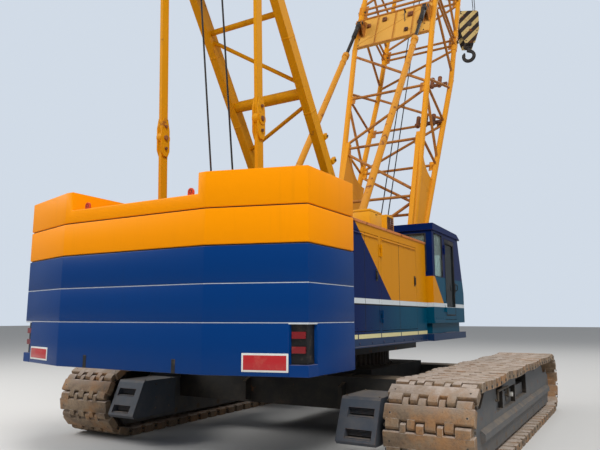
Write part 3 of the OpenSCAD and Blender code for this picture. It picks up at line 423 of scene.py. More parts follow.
@dataclass(frozen=True)
class Paint:
    """A painted metal finish with its weathering."""

    name: str
    colour: Point
    roughness: float = 0.38
    coat: float = 0.05
    chips: float = 0.5
    chip_colour: Point = RUST
    streaks: float = 0.25
    rust: float = 0.0
    rust_scale: float = 5.0
    top_dust_and_light: float = 0.3
    dust_low: float = 0.1
    fade: float = 0.02
    gleam: float = 0.25
    bump: float = 0.03

    def base(self, graph: Graph) -> object:
        """The paint's own colour before weathering."""
        return self.colour

    def rust_share(self, graph: Graph) -> object:
        """How much of the surface is rust, where it isn't the same all over."""
        return self.rust

    def make(self, effects: Effects) -> bpy.types.Material:
        """Builds the material.

        Args:
            effects: The shared node groups.

        Returns:
            The material.
        """
        graph = new_material(self.name)
        coords = graph.place()
        blotch = graph.span(graph.noise(coords, 0.8, 4.0, 0.6), 0.3, 0.7)
        base = self.base(graph)
        colour = graph.mix(blotch, base, graph.mix(self.fade, base, rgb(214, 206, 190)))
        grime = effects.use(graph, effects.streaks, Scale=8.0, Amount=self.streaks)
        colour = graph.mix(grime, colour, GRIME)
        wear = effects.use(graph, effects.wear, Radius=0.012, Amount=self.chips, Scale=16.0)
        rust = effects.use(graph, effects.rust, Scale=self.rust_scale, Amount=self.rust_share(graph))
        shown = rust if self.rust or type(self).rust_share is not Paint.rust_share else 0.0
        both = graph.math("MAXIMUM", wear, shown, clamp=True)
        tone = graph.mix(graph.noise(coords, 22.0, 5.0, 0.7), self.chip_colour, RUST_PALE)
        colour = graph.mix(both, colour, tone)
        dust = effects.use(graph, effects.dust, Top=self.top_dust_and_light, Low=self.dust_low, Height=1.6)
        colour = graph.mix(dust, colour, DUST)
        dull = graph.math("MAXIMUM", both, dust)
        rough = graph.math("MULTIPLY_ADD", dull, 0.45, self.roughness, clamp=True)
        grain = effects.use(graph, effects.grain, Scale=26.0, Coarse=0.6)
        pits = graph.math("MULTIPLY", both, 0.35)
        height = graph.math("SUBTRACT", graph.math("MULTIPLY", grain, 0.3), pits)
        return graph.surface(in_Base_Color=colour, in_Roughness=rough,
                             in_Normal=graph.bump(height, self.bump * 4, 0.02),
                             in_Specular_IOR_Level=self.gleam, in_Coat_Weight=self.coat,
                             in_Coat_Roughness=0.2)


def new_material(name: str) -> Graph:
    """Makes an empty node material and gives its graph, which holds it as owner.

    Args:
        name: Name of the material.

    Returns:
        The graph.
    """
    material = bpy.data.materials.new(name)
    material.use_nodes = True
    material.node_tree.nodes.clear()
    graph = Graph(material.node_tree)
    graph.owner = material
    return graph


ORANGE = rgb(246, 148, 0)
AMBER = rgb(208, 136, 4)
NAVY = rgb(2, 26, 78)
BLUE = rgb(0, 52, 112)
TEAL = rgb(0, 72, 98)
CREAM = rgb(222, 212, 158)
WHITE = rgb(206, 212, 214)
LATTICE = rgb(216, 142, 22)
FRAME_GREY = rgb(74, 80, 86)
BLACK = rgb(13, 13, 15)


@dataclass(frozen=True)
class HousePaint(Paint):
    """The machinery house's colour fields: a slanted split, a white band and a cream band."""

    white_band: Pair = (2.085, 2.155)
    cream_band: Pair = (1.582, 1.676)
    split_low: Pair = (-1.93, 2.13)
    split_high: Pair = (-3.2, 3.14)

    def base(self, graph: Graph) -> object:
        """The colour fields, by height and length.

        Args:
            graph: The material's graph.

        Returns:
            The colour.
        """
        along, height = graph.parts(graph.place())[1:]
        split = graph.slant(height, self.split_low, self.split_high)
        ahead = graph.step(graph.math("SUBTRACT", along, split), 0.0, 0.006)
        upper = graph.mix(ahead, NAVY, self.colour)
        lower = graph.mix(graph.span(along, -3.4, -1.0), NAVY, TEAL)
        colour = graph.mix(graph.step(height, self.white_band[1]), lower, upper)
        colour = graph.mix(graph.band(height, self.white_band[0] - 0.02, self.white_band[0]), colour, BLACK)
        colour = graph.mix(graph.band(height, *self.white_band), colour, WHITE)
        gaps = graph.math("FRACT", graph.math("MULTIPLY", along, 1.25))
        cream = graph.math("MULTIPLY", graph.band(height, *self.cream_band), graph.step(gaps, 0.035, 0.002))
        return graph.mix(cream, colour, CREAM)


@dataclass(frozen=True)
class CabPaint(Paint):
    """The cab's colour fields: dark blue top, teal base and an amber corner behind."""

    corner_low: Pair = (0.36, 2.14)
    corner_high: Pair = (-0.16, 2.63)
    sill_z: float = 2.62
    white_band: Pair = (2.085, 2.155)

    def base(self, graph: Graph) -> object:
        """The colour fields, by height and length.

        Args:
            graph: The material's graph.

        Returns:
            The colour.
        """
        along, height = graph.parts(graph.place())[1:]
        corner = graph.slant(height, self.corner_low, self.corner_high)
        behind = graph.step(graph.math("SUBTRACT", corner, along), 0.0, 0.006)
        middle = graph.mix(behind, self.colour, AMBER)
        colour = graph.mix(graph.step(height, self.sill_z), middle, NAVY)
        below = graph.math("SUBTRACT", 1.0, graph.step(height, self.white_band[0]))
        colour = graph.mix(below, colour, self.colour)
        return graph.mix(graph.band(height, *self.white_band), colour, WHITE)


@dataclass(frozen=True)
class LatticePaint(Paint):
    """Boom paint: fair on the four chords, more rust on the lacing."""

    foot: Pair = (1.26, 1.99)
    angle: float = 67.5
    depth: Pair = (0.15, 0.89)
    width: Pair = (0.915, 1.05)
    taper: Pair = (0.6, 7.15)
    lacing_rust: float = 0.5
    chord_rust: float = 0.3

    def fair(self, graph: Graph) -> tuple[object, object]:
        """Masks of the fair parts (chords, foot cheeks, cross plate) and of the cross plate alone.

        Args:
            graph: The material's graph.

        Returns:
            Both masks.
        """
        moved = graph.add("Mapping", vector_type="POINT", in_Vector=graph.place())
        moved.inputs["Location"].default_value = (0, -self.foot[0], -self.foot[1])
        spun = graph.add("Mapping", vector_type="POINT", in_Vector=moved.outputs[0])
        spun.inputs["Rotation"].default_value = (math.radians(90 - self.angle), 0, 0)
        across, depth, along = graph.parts(spun.outputs[0])
        half_depth = graph.span(along, *self.taper, *self.depth, smooth=False)
        half_width = graph.span(along, *self.taper, *self.width, smooth=False)
        off = graph.math("ABSOLUTE", graph.math("SUBTRACT", graph.math("ABSOLUTE", depth), half_depth))
        near = graph.math("SUBTRACT", 1.0, graph.step(off, 0.09, 0.01))
        out = graph.math("SUBTRACT", graph.math("ABSOLUTE", across), half_width)
        chord = graph.math("MULTIPLY", near, graph.step(out, -0.09, 0.01))
        wide = graph.math("ABSOLUTE", across)
        cheek = graph.math("MULTIPLY", graph.band(wide, 0.84, 0.965), graph.band(along, -0.5, 4.32))
        rear = graph.math("MULTIPLY", graph.band(depth, -0.93, -0.86), graph.band(along, 7.15, 8.32))
        return graph.math("MAXIMUM", chord, graph.math("MAXIMUM", cheek, rear)), rear

    def base(self, graph: Graph) -> object:
        """Browner paint on the lacing and the cross plate."""
        fair, rear = self.fair(graph)
        return graph.mix(rear, graph.mix(fair, rgb(166, 106, 44), self.colour), rgb(204, 150, 66))

    def rust_share(self, graph: Graph) -> object:
        """More rust away from the chords' lines."""
        more = self.chord_rust - self.lacing_rust
        return graph.math("MULTIPLY_ADD", self.fair(graph)[0], more, self.lacing_rust)


@dataclass(frozen=True)
class StripedPaint(Paint):
    """Slanted warning stripes on the hook block's cheeks."""

    second: Point = rgb(44, 34, 30)
    pitch: float = 0.42
    turn: float = -65.0

    def base(self, graph: Graph) -> object:
        """Stripes by height and by length along the turned cheek.

        Args:
            graph: The material's graph.

        Returns:
            The colour.
        """
        side, along, height = graph.parts(graph.place())
        angle = math.radians(self.turn)
        reach = graph.math("ADD", graph.math("MULTIPLY", side, -math.sin(angle)),
                           graph.math("MULTIPLY", along, math.cos(angle)))
        slant = graph.math("MULTIPLY", graph.math("SUBTRACT", height, reach), 1 / self.pitch)
        return graph.mix(graph.step(graph.math("FRACT", slant), 0.5, 0.01), self.colour, self.second)


@dataclass(frozen=True)
class Steel:
    """Bare or dirty metal that isn't painted."""

    name: str
    colour: Point
    second: Point
    metallic: float = 0.8
    roughness: float = 0.5
    third: Point = GRIME
    worn: Point = BARE
    soil_and_top_light: Point = DUST
    polish_and_highlight: float = 0.4
    top_dust_and_light: float = 0.2
    dust_low: float = 0.2
    scale: float = 6.0
    bump: float = 0.12

    def make(self, effects: Effects) -> bpy.types.Material:
        """Builds the material.

        Args:
            effects: The shared node groups.

        Returns:
            The material.
        """
        graph = new_material(self.name)
        coords = graph.place()
        patches = graph.span(graph.noise(coords, self.scale, 8.0, 0.7), 0.32, 0.68)
        colour = graph.mix(patches, self.colour, self.second)
        wide = graph.noise(coords, self.scale * 0.35, 6.0, 0.7)
        colour = graph.mix(graph.span(wide, 0.46, 0.66, 0.0, 0.8), colour, self.third)
        specks = graph.span(graph.noise(coords, self.scale * 7, 4.0, 0.7), 0.45, 0.8, 0.0, 0.4)
        colour = graph.mix(specks, colour, GRIME)
        wear = effects.use(graph, effects.wear, Radius=0.01, Amount=self.polish_and_highlight, Scale=9.0)
        colour = graph.mix(wear, colour, self.worn)
        dust = effects.use(graph, effects.dust, Top=self.top_dust_and_light, Low=self.dust_low, Height=1.6)
        colour = graph.mix(dust, colour, self.soil_and_top_light)
        rough = graph.math("MULTIPLY_ADD", dust, 0.4, self.roughness, clamp=True)
        grain = effects.use(graph, effects.grain, Scale=34.0, Coarse=0.4)
        metal = graph.math("MULTIPLY", graph.math("SUBTRACT", 1.0, dust, clamp=True), self.metallic)
        return graph.surface(in_Base_Color=colour, in_Roughness=rough, in_Metallic=metal,
                             in_Normal=graph.bump(grain, self.bump * 3, 0.012))


@dataclass(frozen=True)
class Plain:
    """Rubber, plastic, cloth or lamp lens: one colour with fine grain."""

    name: str
    colour: Point
    roughness: float = 0.6
    coat: float = 0.0
    sheen: float = 0.0
    grain_scale: float = 60.0
    bump: float = 0.1
    top_dust_and_light: float = 0.3

    def make(self, effects: Effects) -> bpy.types.Material:
        """Builds the material.

        Args:
            effects: The shared groups.

        Returns:
            The material.
        """
        graph = new_material(self.name)
        tone = graph.mix(0.25, self.colour, DUST)
        colour = graph.mix(graph.span(graph.noise(graph.place(), 7.0, 5.0, 0.7), 0.5, 0.8), self.colour, tone)
        dust = effects.use(graph, effects.dust, Top=self.top_dust_and_light, Low=0.1, Height=1.6)
        colour = graph.mix(dust, colour, DUST)
        grain = effects.use(graph, effects.grain, Scale=self.grain_scale, Coarse=0.2)
        rough = graph.math("MULTIPLY_ADD", dust, 0.3, self.roughness, clamp=True)
        return graph.surface(in_Base_Color=colour, in_Roughness=rough,
                             in_Normal=graph.bump(grain, self.bump * 3, 0.004), in_Specular_IOR_Level=0.35,
                             in_Coat_Weight=self.coat, in_Sheen_Weight=self.sheen)


@dataclass(frozen=True)
class Glass:
    """Tinted window glass with a patchy film."""

    name: str
    colour: Point = rgb(196, 214, 208)
    roughness: float = 0.04
    clear: float = 0.82

    def make(self, _: Effects) -> bpy.types.Material:
        """Builds the material, which needs no shared group.

        Returns:
            The material.
        """
        graph = new_material(self.name)
        film = graph.span(graph.noise(graph.place(), 2.5, 6.0, 0.7), 0.3, 0.8, 0.02, 0.16)
        return graph.surface(in_Base_Color=self.colour, in_Roughness=graph.math("ADD", film, self.roughness),
                             in_Transmission_Weight=self.clear, in_IOR=1.1, in_Specular_IOR_Level=0.9)


@dataclass(frozen=True)
class Rope:
    """Stranded wire rope; the pattern follows the piece's own UV."""

    name: str
    colour: Point = rgb(58, 56, 54)
    grease: Point = rgb(22, 21, 20)
    pitch: float = 0.12

    def make(self, _: Effects) -> bpy.types.Material:
        """Builds the material, which needs no shared group.

        Returns:
            The material.
        """
        graph = new_material(self.name)
        around, along = graph.parts(graph.add("UVMap", uv_map="lay").outputs[0])[:2]
        strands = 6
        run = graph.math("MULTIPLY", along, strands / self.pitch)
        twist = graph.math("ADD", graph.math("MULTIPLY", around, strands), run)
        ridge = graph.math("SINE", graph.math("MULTIPLY", twist, 2 * math.pi))
        colour = graph.mix(graph.span(ridge, -1, 0.4), self.grease, self.colour)
        patch = graph.span(graph.noise(graph.place(), 3.0, 4.0, 0.6), 0.5, 0.8, 0, 0.5)
        colour = graph.mix(patch, colour, RUST)
        return graph.surface(in_Base_Color=colour, in_Roughness=0.55, in_Metallic=0.5,
                             in_Normal=graph.bump(ridge, 0.7, 0.004))


class Look(Enum):
    """Every finish on the crane."""

    SLAB_BLUE = Paint("counterweight_blue", BLUE, roughness=0.34, coat=0.04, chips=0.15, chip_colour=BARE,
                      streaks=0.08, top_dust_and_light=0.3, fade=0.0, gleam=0.08)
    SLAB_ORANGE = Paint("counterweight_orange", ORANGE, roughness=0.4, coat=0.0, chips=0.08, streaks=0.08,
                        top_dust_and_light=0.25, fade=0.0, gleam=0.05)
    HOUSE = HousePaint("house_fields", AMBER, roughness=0.36, coat=0.0, chips=0.25, streaks=0.14,
                       top_dust_and_light=0.3, fade=0.0, gleam=0.06)
    ROOF = Paint("roof_paint", rgb(196, 112, 40), roughness=0.55, coat=0.0, chips=0.6, streaks=0.1, rust=0.5,
                 top_dust_and_light=0.5, fade=0.1)
    CAB = CabPaint("cab_fields", TEAL, roughness=0.34, coat=0.0, chips=0.25, streaks=0.12, top_dust_and_light=0.3,
                   fade=0.0, gleam=0.06)
    NAVY = Paint("navy_paint", NAVY, roughness=0.4, chips=0.5, streaks=0.2, top_dust_and_light=0.3)
    DECK = Paint("deck_paint", rgb(0, 44, 84), roughness=0.45, chips=0.5, streaks=0.25, top_dust_and_light=0.4)
    BED = Paint("bed_paint", rgb(18, 26, 38), roughness=0.5, coat=0.0, chips=0.5, streaks=0.3, rust=0.45,
                top_dust_and_light=0.4)
    GANTRY = Paint("gantry_paint", rgb(206, 138, 6), roughness=0.5, coat=0.0, chips=0.5, streaks=0.3,
                   rust=0.36, rust_scale=3.0, top_dust_and_light=0.2, fade=0.0, gleam=0.06)
    LATTICE = LatticePaint("lattice_paint", LATTICE, roughness=0.52, coat=0.0, chips=0.4, streaks=0.22,
                           rust_scale=4.5, top_dust_and_light=0.2, gleam=0.12)
    BACKSTOP = Paint("backstop_paint", rgb(206, 136, 30), roughness=0.5, coat=0.0, chips=0.6, rust=0.44,
                     rust_scale=5.0, streaks=0.4, gleam=0.12)
    BOX_YELLOW = Paint("box_paint", rgb(226, 156, 6), roughness=0.45, chips=0.5, streaks=0.25)
    UNDER = Paint("underframe_paint", FRAME_GREY, roughness=0.6, coat=0.0, chips=0.4, streaks=0.3, rust=0.35,
                  top_dust_and_light=0.25, dust_low=0.2)
    # Near-black carbody: its grey paint is darkened as painted shade for the shade that falls under the upper
    # works.
    CARBODY_SHADED = Paint("carbody_painted_shade", rgb(30, 32, 34), roughness=0.7, coat=0.0, chips=0.3, streaks=0.2,
                    rust=0.3, top_dust_and_light=0.4, dust_low=0.12)
    STEP = Paint("step_box_paint", rgb(56, 66, 78), roughness=0.55, coat=0.0, chips=0.4, streaks=0.3,
                 top_dust_and_light=0.25, dust_low=0.12)
    CHEEK = StripedPaint("block_stripes", rgb(196, 170, 112), roughness=0.6, coat=0.0, gleam=0.12, rust=0.45,
                         streaks=0.2)
    BLOCK = Paint("block_paint", rgb(48, 46, 44), roughness=0.6, coat=0.0, chips=0.6, rust=0.5, streaks=0.3)
    SIGNAL = Paint("signal_red", rgb(206, 62, 20), roughness=0.45, chips=0.4, streaks=0.1)
    PIN_WHITE = Paint("pin_white", rgb(208, 206, 200), roughness=0.5, chips=0.6, streaks=0.3)
    # Track shoes: the pale edge colour is polished wear and also a painted highlight; the pale top faces are
    # dust and also painted light from above.
    SHOE = Steel("cast_shoes", rgb(150, 128, 102), rgb(104, 84, 66), third=rgb(166, 118, 70),
                 worn=rgb(196, 188, 178), soil_and_top_light=rgb(186, 170, 156), metallic=0.1, roughness=0.78, polish_and_highlight=0.95,
                 top_dust_and_light=0.95, dust_low=0.05, scale=5.0, bump=0.3)
    CAST = Steel("cast_steel", rgb(58, 56, 54), rgb(78, 64, 52), metallic=0.5, roughness=0.6, polish_and_highlight=0.6,
                 top_dust_and_light=0.5, dust_low=0.4)
    BRIGHT = Steel("bright_steel", rgb(150, 150, 148), rgb(110, 108, 104), metallic=0.9, roughness=0.32,
                   polish_and_highlight=0.3, top_dust_and_light=0.1, dust_low=0.1)
    DARK = Steel("dark_steel", rgb(40, 40, 42), rgb(54, 48, 42), metallic=0.55, roughness=0.5, polish_and_highlight=0.5)
    RUSTY = Steel("rusty_steel", RUST, RUST_PALE, metallic=0.1, roughness=0.85, polish_and_highlight=0.1, top_dust_and_light=0.2)
    ENGINE = Paint("engine_paint", rgb(60, 66, 70), roughness=0.5, chips=0.3, streaks=0.5, top_dust_and_light=0.6)
    BLACK = Plain("black_plastic", BLACK, roughness=0.5)
    RUBBER = Plain("black_rubber", rgb(24, 24, 25), roughness=0.75, bump=0.2)
    LENS = Plain("red_lens", rgb(120, 12, 20), roughness=0.15, coat=0.6, grain_scale=8.0, bump=0.02,
                 top_dust_and_light=0.1)
    CLEAR_LENS = Plain("clear_lens", rgb(206, 208, 204), roughness=0.12, coat=0.7, grain_scale=8.0, bump=0.02)
    CLOTH = Plain("seat_cloth", rgb(46, 44, 48), roughness=0.9, sheen=0.5, grain_scale=160.0, bump=0.3)
    CABIN = Plain("cabin_trim", rgb(92, 26, 30), roughness=0.7, sheen=0.1)
    CONSOLE = Plain("console_plastic", rgb(70, 74, 74), roughness=0.6)
    PLATE = Plain("blank_plate", rgb(214, 214, 208), roughness=0.4, coat=0.3, grain_scale=6.0, bump=0.02,
                  top_dust_and_light=0.2)
    RED_PLATE = Plain("blank_red_plate", rgb(176, 24, 30), roughness=0.4, coat=0.3, grain_scale=6.0,
                      bump=0.02)
    SEAM = Plain("pale_seam", rgb(196, 200, 204), roughness=0.5, coat=0.2)
    GLASS = Glass("window_glass")
    # Dark door glass: its dark colour is painted shade that stands in for how dark the pane looks.
    SHADED_DOOR_GLASS = Glass("door_glass", rgb(52, 58, 60), clear=0.6)
    ROPE = Rope("wire_rope")


class Palette:
    """Builds each finish once and hands it out."""

    def __init__(self) -> None:
        """Starts with the shared effects and no materials."""
        self.effects = Effects()
        self.made: dict[Look, bpy.types.Material] = {}

    def get(self, look: Look) -> bpy.types.Material:
        """The material of a finish.

        Args:
            look: The finish.

        Returns:
            Its material, made on first use.
        """
        if look not in self.made:
            self.made[look] = look.value.make(self.effects)
        return self.made[look]


# Modelling


class Shape:
    """A mesh in the making, with a material index for each new part of it."""

    def __init__(self, name: str) -> None:
        """Starts an empty mesh.

        Args:
            name: Name of the finished piece.
        """
        self.name = name
        self.bm = bmesh.new()
        self.index = 0
        self.looks: list[Look] = []

    def use(self, look: Look) -> "Shape":
        """Gives the parts that follow a finish.

        Args:
            look: The finish.

        Returns:
            The shape.
        """
        if look not in self.looks:
            self.looks.append(look)
        self.index = self.looks.index(look)
        return self

    def _mark(self, faces: Iterable[bmesh.types.BMFace]) -> None:
        """Sets the current finish on faces."""
        for face in faces:
            face.material_index = self.index

    def _join(self, part: bmesh.types.BMesh) -> None:
        """Adds a finished part and frees it.

        Args:
            part: The part's mesh.
        """
        bmesh.ops.recalc_face_normals(part, faces=part.faces)
        self._mark(part.faces)
        scratch = bpy.data.meshes.new("scratch")
        part.to_mesh(scratch)
        self.bm.from_mesh(scratch)
        bpy.data.meshes.remove(scratch)
        part.free()

    @staticmethod
    def _bevel(part: bmesh.types.BMesh, size: float, segments: int, sharp: float = 0.5) -> None:
        """Rounds the edges of a part that turn by more than an angle.

        Args:
            part: The part's mesh.
            size: Size of the rounding.
            segments: Segments of each rounding.
            sharp: The angle, in radians.
        """
        if size <= 0:
            return
        edges = [edge for edge in part.edges if len(edge.link_faces) == 2 and edge.calc_face_angle(0) > sharp]
        bmesh.ops.bevel(part, geom=edges, offset=size, affect="EDGES", segments=segments, profile=0.5,
                        material=-1, clamp_overlap=True)

    def box(self, low: Sequence[float], high: Sequence[float], bevel: float = 0.004, segments: int = 1,
            turn: Matrix | None = None) -> "Shape":
        """Adds a block from corner to corner.

        Args:
            low: Lowest corner.
            high: Highest corner.
            bevel: Size of the rounded edges.
            segments: Segments of each rounded edge.
            turn: Turn about the block's middle.

        Returns:
            The shape.
        """
        part = bmesh.new()
        middle = (Vector(low) + Vector(high)) / 2
        size = Vector(high) - Vector(low)
        bmesh.ops.create_cube(part, size=1.0, matrix=Matrix.Diagonal((*size, 1)))
        self._bevel(part, bevel, segments)
        bmesh.ops.transform(part, matrix=Matrix.Translation(middle) @ (turn or Matrix()), verts=part.verts)
        self._join(part)
        return self

    def block(self, middle: Vector, half: Sequence[float], bevel: float = 0.004, segments: int = 1,
              turn: Matrix | None = None) -> "Shape":
        """Adds a block round a middle, given half its size along each axis."""
        reach = Vector(half)
        return self.box(middle - reach, middle + reach, bevel, segments, turn)

    def rod(self, start: Sequence[float], end: Sequence[float], radius: float, sides: int = 12,
            bevel: float = 0.0) -> "Shape":
        """Adds a round bar between two points.

        Args:
            start: Middle of its first end.
            end: Middle of its last end.
            radius: Radius of the bar.
            sides: Sides of the bar.
            bevel: Size of the rounding at its ends.

        Returns:
            The shape.
        """
        part = bmesh.new()
        first, last = Vector(start), Vector(end)
        axis = last - first
        place = Matrix.Translation((first + last) / 2) @ axis.to_track_quat("Z", "Y").to_matrix().to_4x4()
        bmesh.ops.create_cone(part, cap_ends=True, segments=sides, radius1=radius, radius2=radius,
                              depth=axis.length)
        if bevel:
            self._bevel(part, bevel, 2, 1.0)
        bmesh.ops.transform(part, matrix=place, verts=part.verts)
        self._join(part)
        return self

    def plate(self, outline: Sequence[Pair], axis: Axis, low: float, high: float, bevel: float = 0.003,
              segments: int = 1, sharp: float = 0.5) -> "Shape":
        """Adds a flat outline pulled along an axis.

        Args:
            outline: Corners in the other two axes, in their order X, Y, Z.
            axis: The axis it is pulled along.
            low: Where it starts.
            high: Where it ends.
            bevel: Size of the rounded edges.
            segments: Segments of each rounded edge.
            sharp: Edges that turn by more than this angle are rounded.

        Returns:
            The shape.
        """
        part = bmesh.new()
        corners = []
        for pair in outline:
            place = list(pair)
            place.insert(axis.value, low)
            corners.append(part.verts.new(place))
        face = part.faces.new(corners)
        pulled = bmesh.ops.extrude_face_region(part, geom=[face])
        moved = [item for item in pulled["geom"] if isinstance(item, bmesh.types.BMVert)]
        offset = [0.0, 0.0, 0.0]
        offset[axis.value] = high - low
        bmesh.ops.translate(part, vec=offset, verts=moved)
        bmesh.ops.recalc_face_normals(part, faces=part.faces)
        self._bevel(part, bevel, segments, sharp)
        self._join(part)
        return self

    def lathe(self, profile: Sequence[Pair], place: Matrix, steps: int = 32) -> "Shape":
        """Spins a profile of (radius, height) about Z and puts it in place.

        Args:
            profile: Points from one end to the other.
            place: Where the spun part goes.
            steps: Steps of a full turn.

        Returns:
            The shape.
        """
        part = bmesh.new()
        points = [part.verts.new((max(radius, 1e-5), 0, height)) for radius, height in profile]
        edges = [part.edges.new(pair) for pair in zip(points, points[1:])]
        bmesh.ops.spin(part, geom=points + edges, cent=(0, 0, 0), axis=(0, 0, 1), angle=2 * math.pi,
                       steps=steps, use_merge=True)
        bmesh.ops.remove_doubles(part, verts=part.verts, dist=2e-5)
        bmesh.ops.transform(part, matrix=place, verts=part.verts)
        self._join(part)
        return self

    def ring(self, place: Matrix, radius: float, thick: float, steps: int = 24, sides: int = 8) -> "Shape":
        """Adds a round ring about the local Z axis.

        Args:
            place: Where the ring goes.
            radius: Radius to the middle of its section.
            thick: Radius of its section.
            steps: Steps of a full turn.
            sides: Sides of its section.

        Returns:
            The shape.
        """
        turns = [2 * math.pi * step / sides for step in range(sides + 1)]
        profile = [(radius + thick * math.cos(angle), thick * math.sin(angle)) for angle in turns]
        return self.lathe(profile, place, steps)

    def pipe(self, path: Sequence[Sequence[float]], radius: float, sides: int = 8) -> "Shape":
        """Adds a tube along a path, with a UV that runs round and along it.

        Args:
            path: Points that the tube follows.
            radius: Radius of the tube.
            sides: Sides of the tube.

        Returns:
            The shape.
        """
        part = bmesh.new()
        layer = part.loops.layers.uv.new("lay")
        points = [Vector(point) for point in path]
        rings: list[list[bmesh.types.BMVert]] = []
        turn = None
        for index, point in enumerate(points):
            ahead = points[min(index + 1, len(points) - 1)] - points[max(index - 1, 0)]
            ahead.normalize()
            if turn is None:
                turn = ahead.to_track_quat("Z", "Y")
            else:
                turn = (turn @ Vector((0, 0, 1))).rotation_difference(ahead) @ turn
            made = bmesh.ops.create_circle(part, cap_ends=False, segments=sides, radius=radius,
                                           matrix=Matrix.Translation(point) @ turn.to_matrix().to_4x4())
            rings.append(made["verts"])
        travelled = 0.0
        for index, (near, far) in enumerate(zip(rings, rings[1:])):
            reach = travelled + (points[index + 1] - points[index]).length
            for side in range(sides):
                after = (side + 1) % sides
                face = part.faces.new((near[side], near[after], far[after], far[side]))
                marks = ((side, travelled), (side + 1, travelled), (side + 1, reach), (side, reach))
                for loop, (around, along) in zip(face.loops, marks):
                    loop[layer].uv = (around / sides, along)
            travelled = reach
        part.faces.new(rings[0])
        part.faces.new(rings[-1])
        self._join(part)
        return self

    def copy(self, other: "Shape", places: Iterable[Matrix]) -> "Shape":
        """Adds another shape at several places and keeps its finishes.

        Args:
            other: The shape to repeat; it is freed.
            places: Where each copy goes.

        Returns:
            The shape.
        """
        scratch = bpy.data.meshes.new("scratch")
        other.bm.to_mesh(scratch)
        lookup = []
        for look in other.looks:
            self.use(look)
            lookup.append(self.index)
        for place in places:
            moved = scratch.copy()
            moved.transform(place)
            if place.determinant() < 0:
                moved.flip_normals()
            before = len(self.bm.faces)
            self.bm.from_mesh(moved)
            self.bm.faces.ensure_lookup_table()
            for face in self.bm.faces[before:]:
                face.material_index = lookup[face.material_index]
            bpy.data.meshes.remove(moved)
        bpy.data.meshes.remove(scratch)
        other.bm.free()
        return self

    def bolts(self, spots: Iterable[Sequence[float]], axis: Axis, size: float = 0.018, height: float = 0.014,
              sign: int = 1) -> "Shape":
        """Adds hexagon bolt heads that stand along an axis.

        Args:
            spots: Middle of each head's foot.
            axis: Axis that they stand along.
            size: Radius of a head.
            height: Height of a head.
            sign: 1 for the axis's way, -1 against it.

        Returns:
            The shape.
        """
        for spot in spots:
            end = list(spot)
            end[axis.value] += sign * height
            self.rod(spot, end, size, sides=6)
        return self

    def finish(self, palette: Palette, body: Body | None, slot: str | None = None,
               replaces: Sequence[str] = (), corner: float = 0.6) -> bpy.types.Object:
        """Makes the object, gives it its finishes and puts it on its body.

        Args:
            palette: The finishes.
            body: The body that it rides on, or None to put it on no body.
            slot: The record's material slot; not used.
            replaces: CAD nodes that it stands for.
            corner: Edges that turn by more than this stay sharp.

        Returns:
            The object.
        """
        for face in self.bm.faces:
            face.smooth = True
        for edge in self.bm.edges:
            if len(edge.link_faces) == 2:
                edge.smooth = edge.calc_face_angle(0) < corner
        mesh = bpy.data.meshes.new(self.name)
        self.bm.to_mesh(mesh)
        self.bm.free()
        for look in self.looks:
            mesh.materials.append(palette.get(look))
        piece = bpy.data.objects.new(self.name, mesh)
        bpy.context.collection.objects.link(piece)
        if body:
            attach(piece, body.value)
        if replaces:
            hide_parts(*replaces)
        LOG.info("%s: %d faces on %s", self.name, len(mesh.polygons), body.value if body else "two bodies")
        return piece


def along_x(place: Sequence[float]) -> Matrix:
    """A place whose local Z axis looks along X."""
    return Matrix.Translation(place) @ Matrix.Rotation(math.pi / 2, 4, "Y")


def across(side: int, near: float, far: float) -> tuple[float, float]:
    """Two distances from the middle as X values on one side, the lower one first."""
    return (near, far) if side > 0 else (-far, -near)


def dress(palette: Palette, finishes: dict[str, Look]) -> None:
    """Gives CAD nodes their finishes.

    Args:
        palette: The finishes.
        finishes: The finish of each node, by the node's name.
    """
    for node, look in finishes.items():
        piece = frame["nodes"][node]
        if not piece.material_slots:
            piece.data.materials.append(palette.get(look))
        for place in piece.material_slots:
            place.material = palette.get(look)


def smooth_path(points: Sequence[Sequence[float]], steps: int) -> list[Vector]:
    """Points on a smooth curve through given ones.

    Args:
        points: Points that the curve passes.
        steps: New points between two given ones.

    Returns:
        The curve's points.
    """
    given = [Vector(point) for point in points]
    ends = [given[0] * 2 - given[1], *given, given[-1] * 2 - given[-2]]
    curve = []
    for first, second, third, fourth in zip(ends, ends[1:], ends[2:], ends[3:]):
        bend, twist = 2 * first - 5 * second + 4 * third - fourth, 3 * second - first - 3 * third + fourth
        for step in range(steps):
            share = step / steps
            curve.append(second + 0.5 * ((third - first) * share + bend * share ** 2 + twist * share ** 3))
    curve.append(given[-1])
    return curve


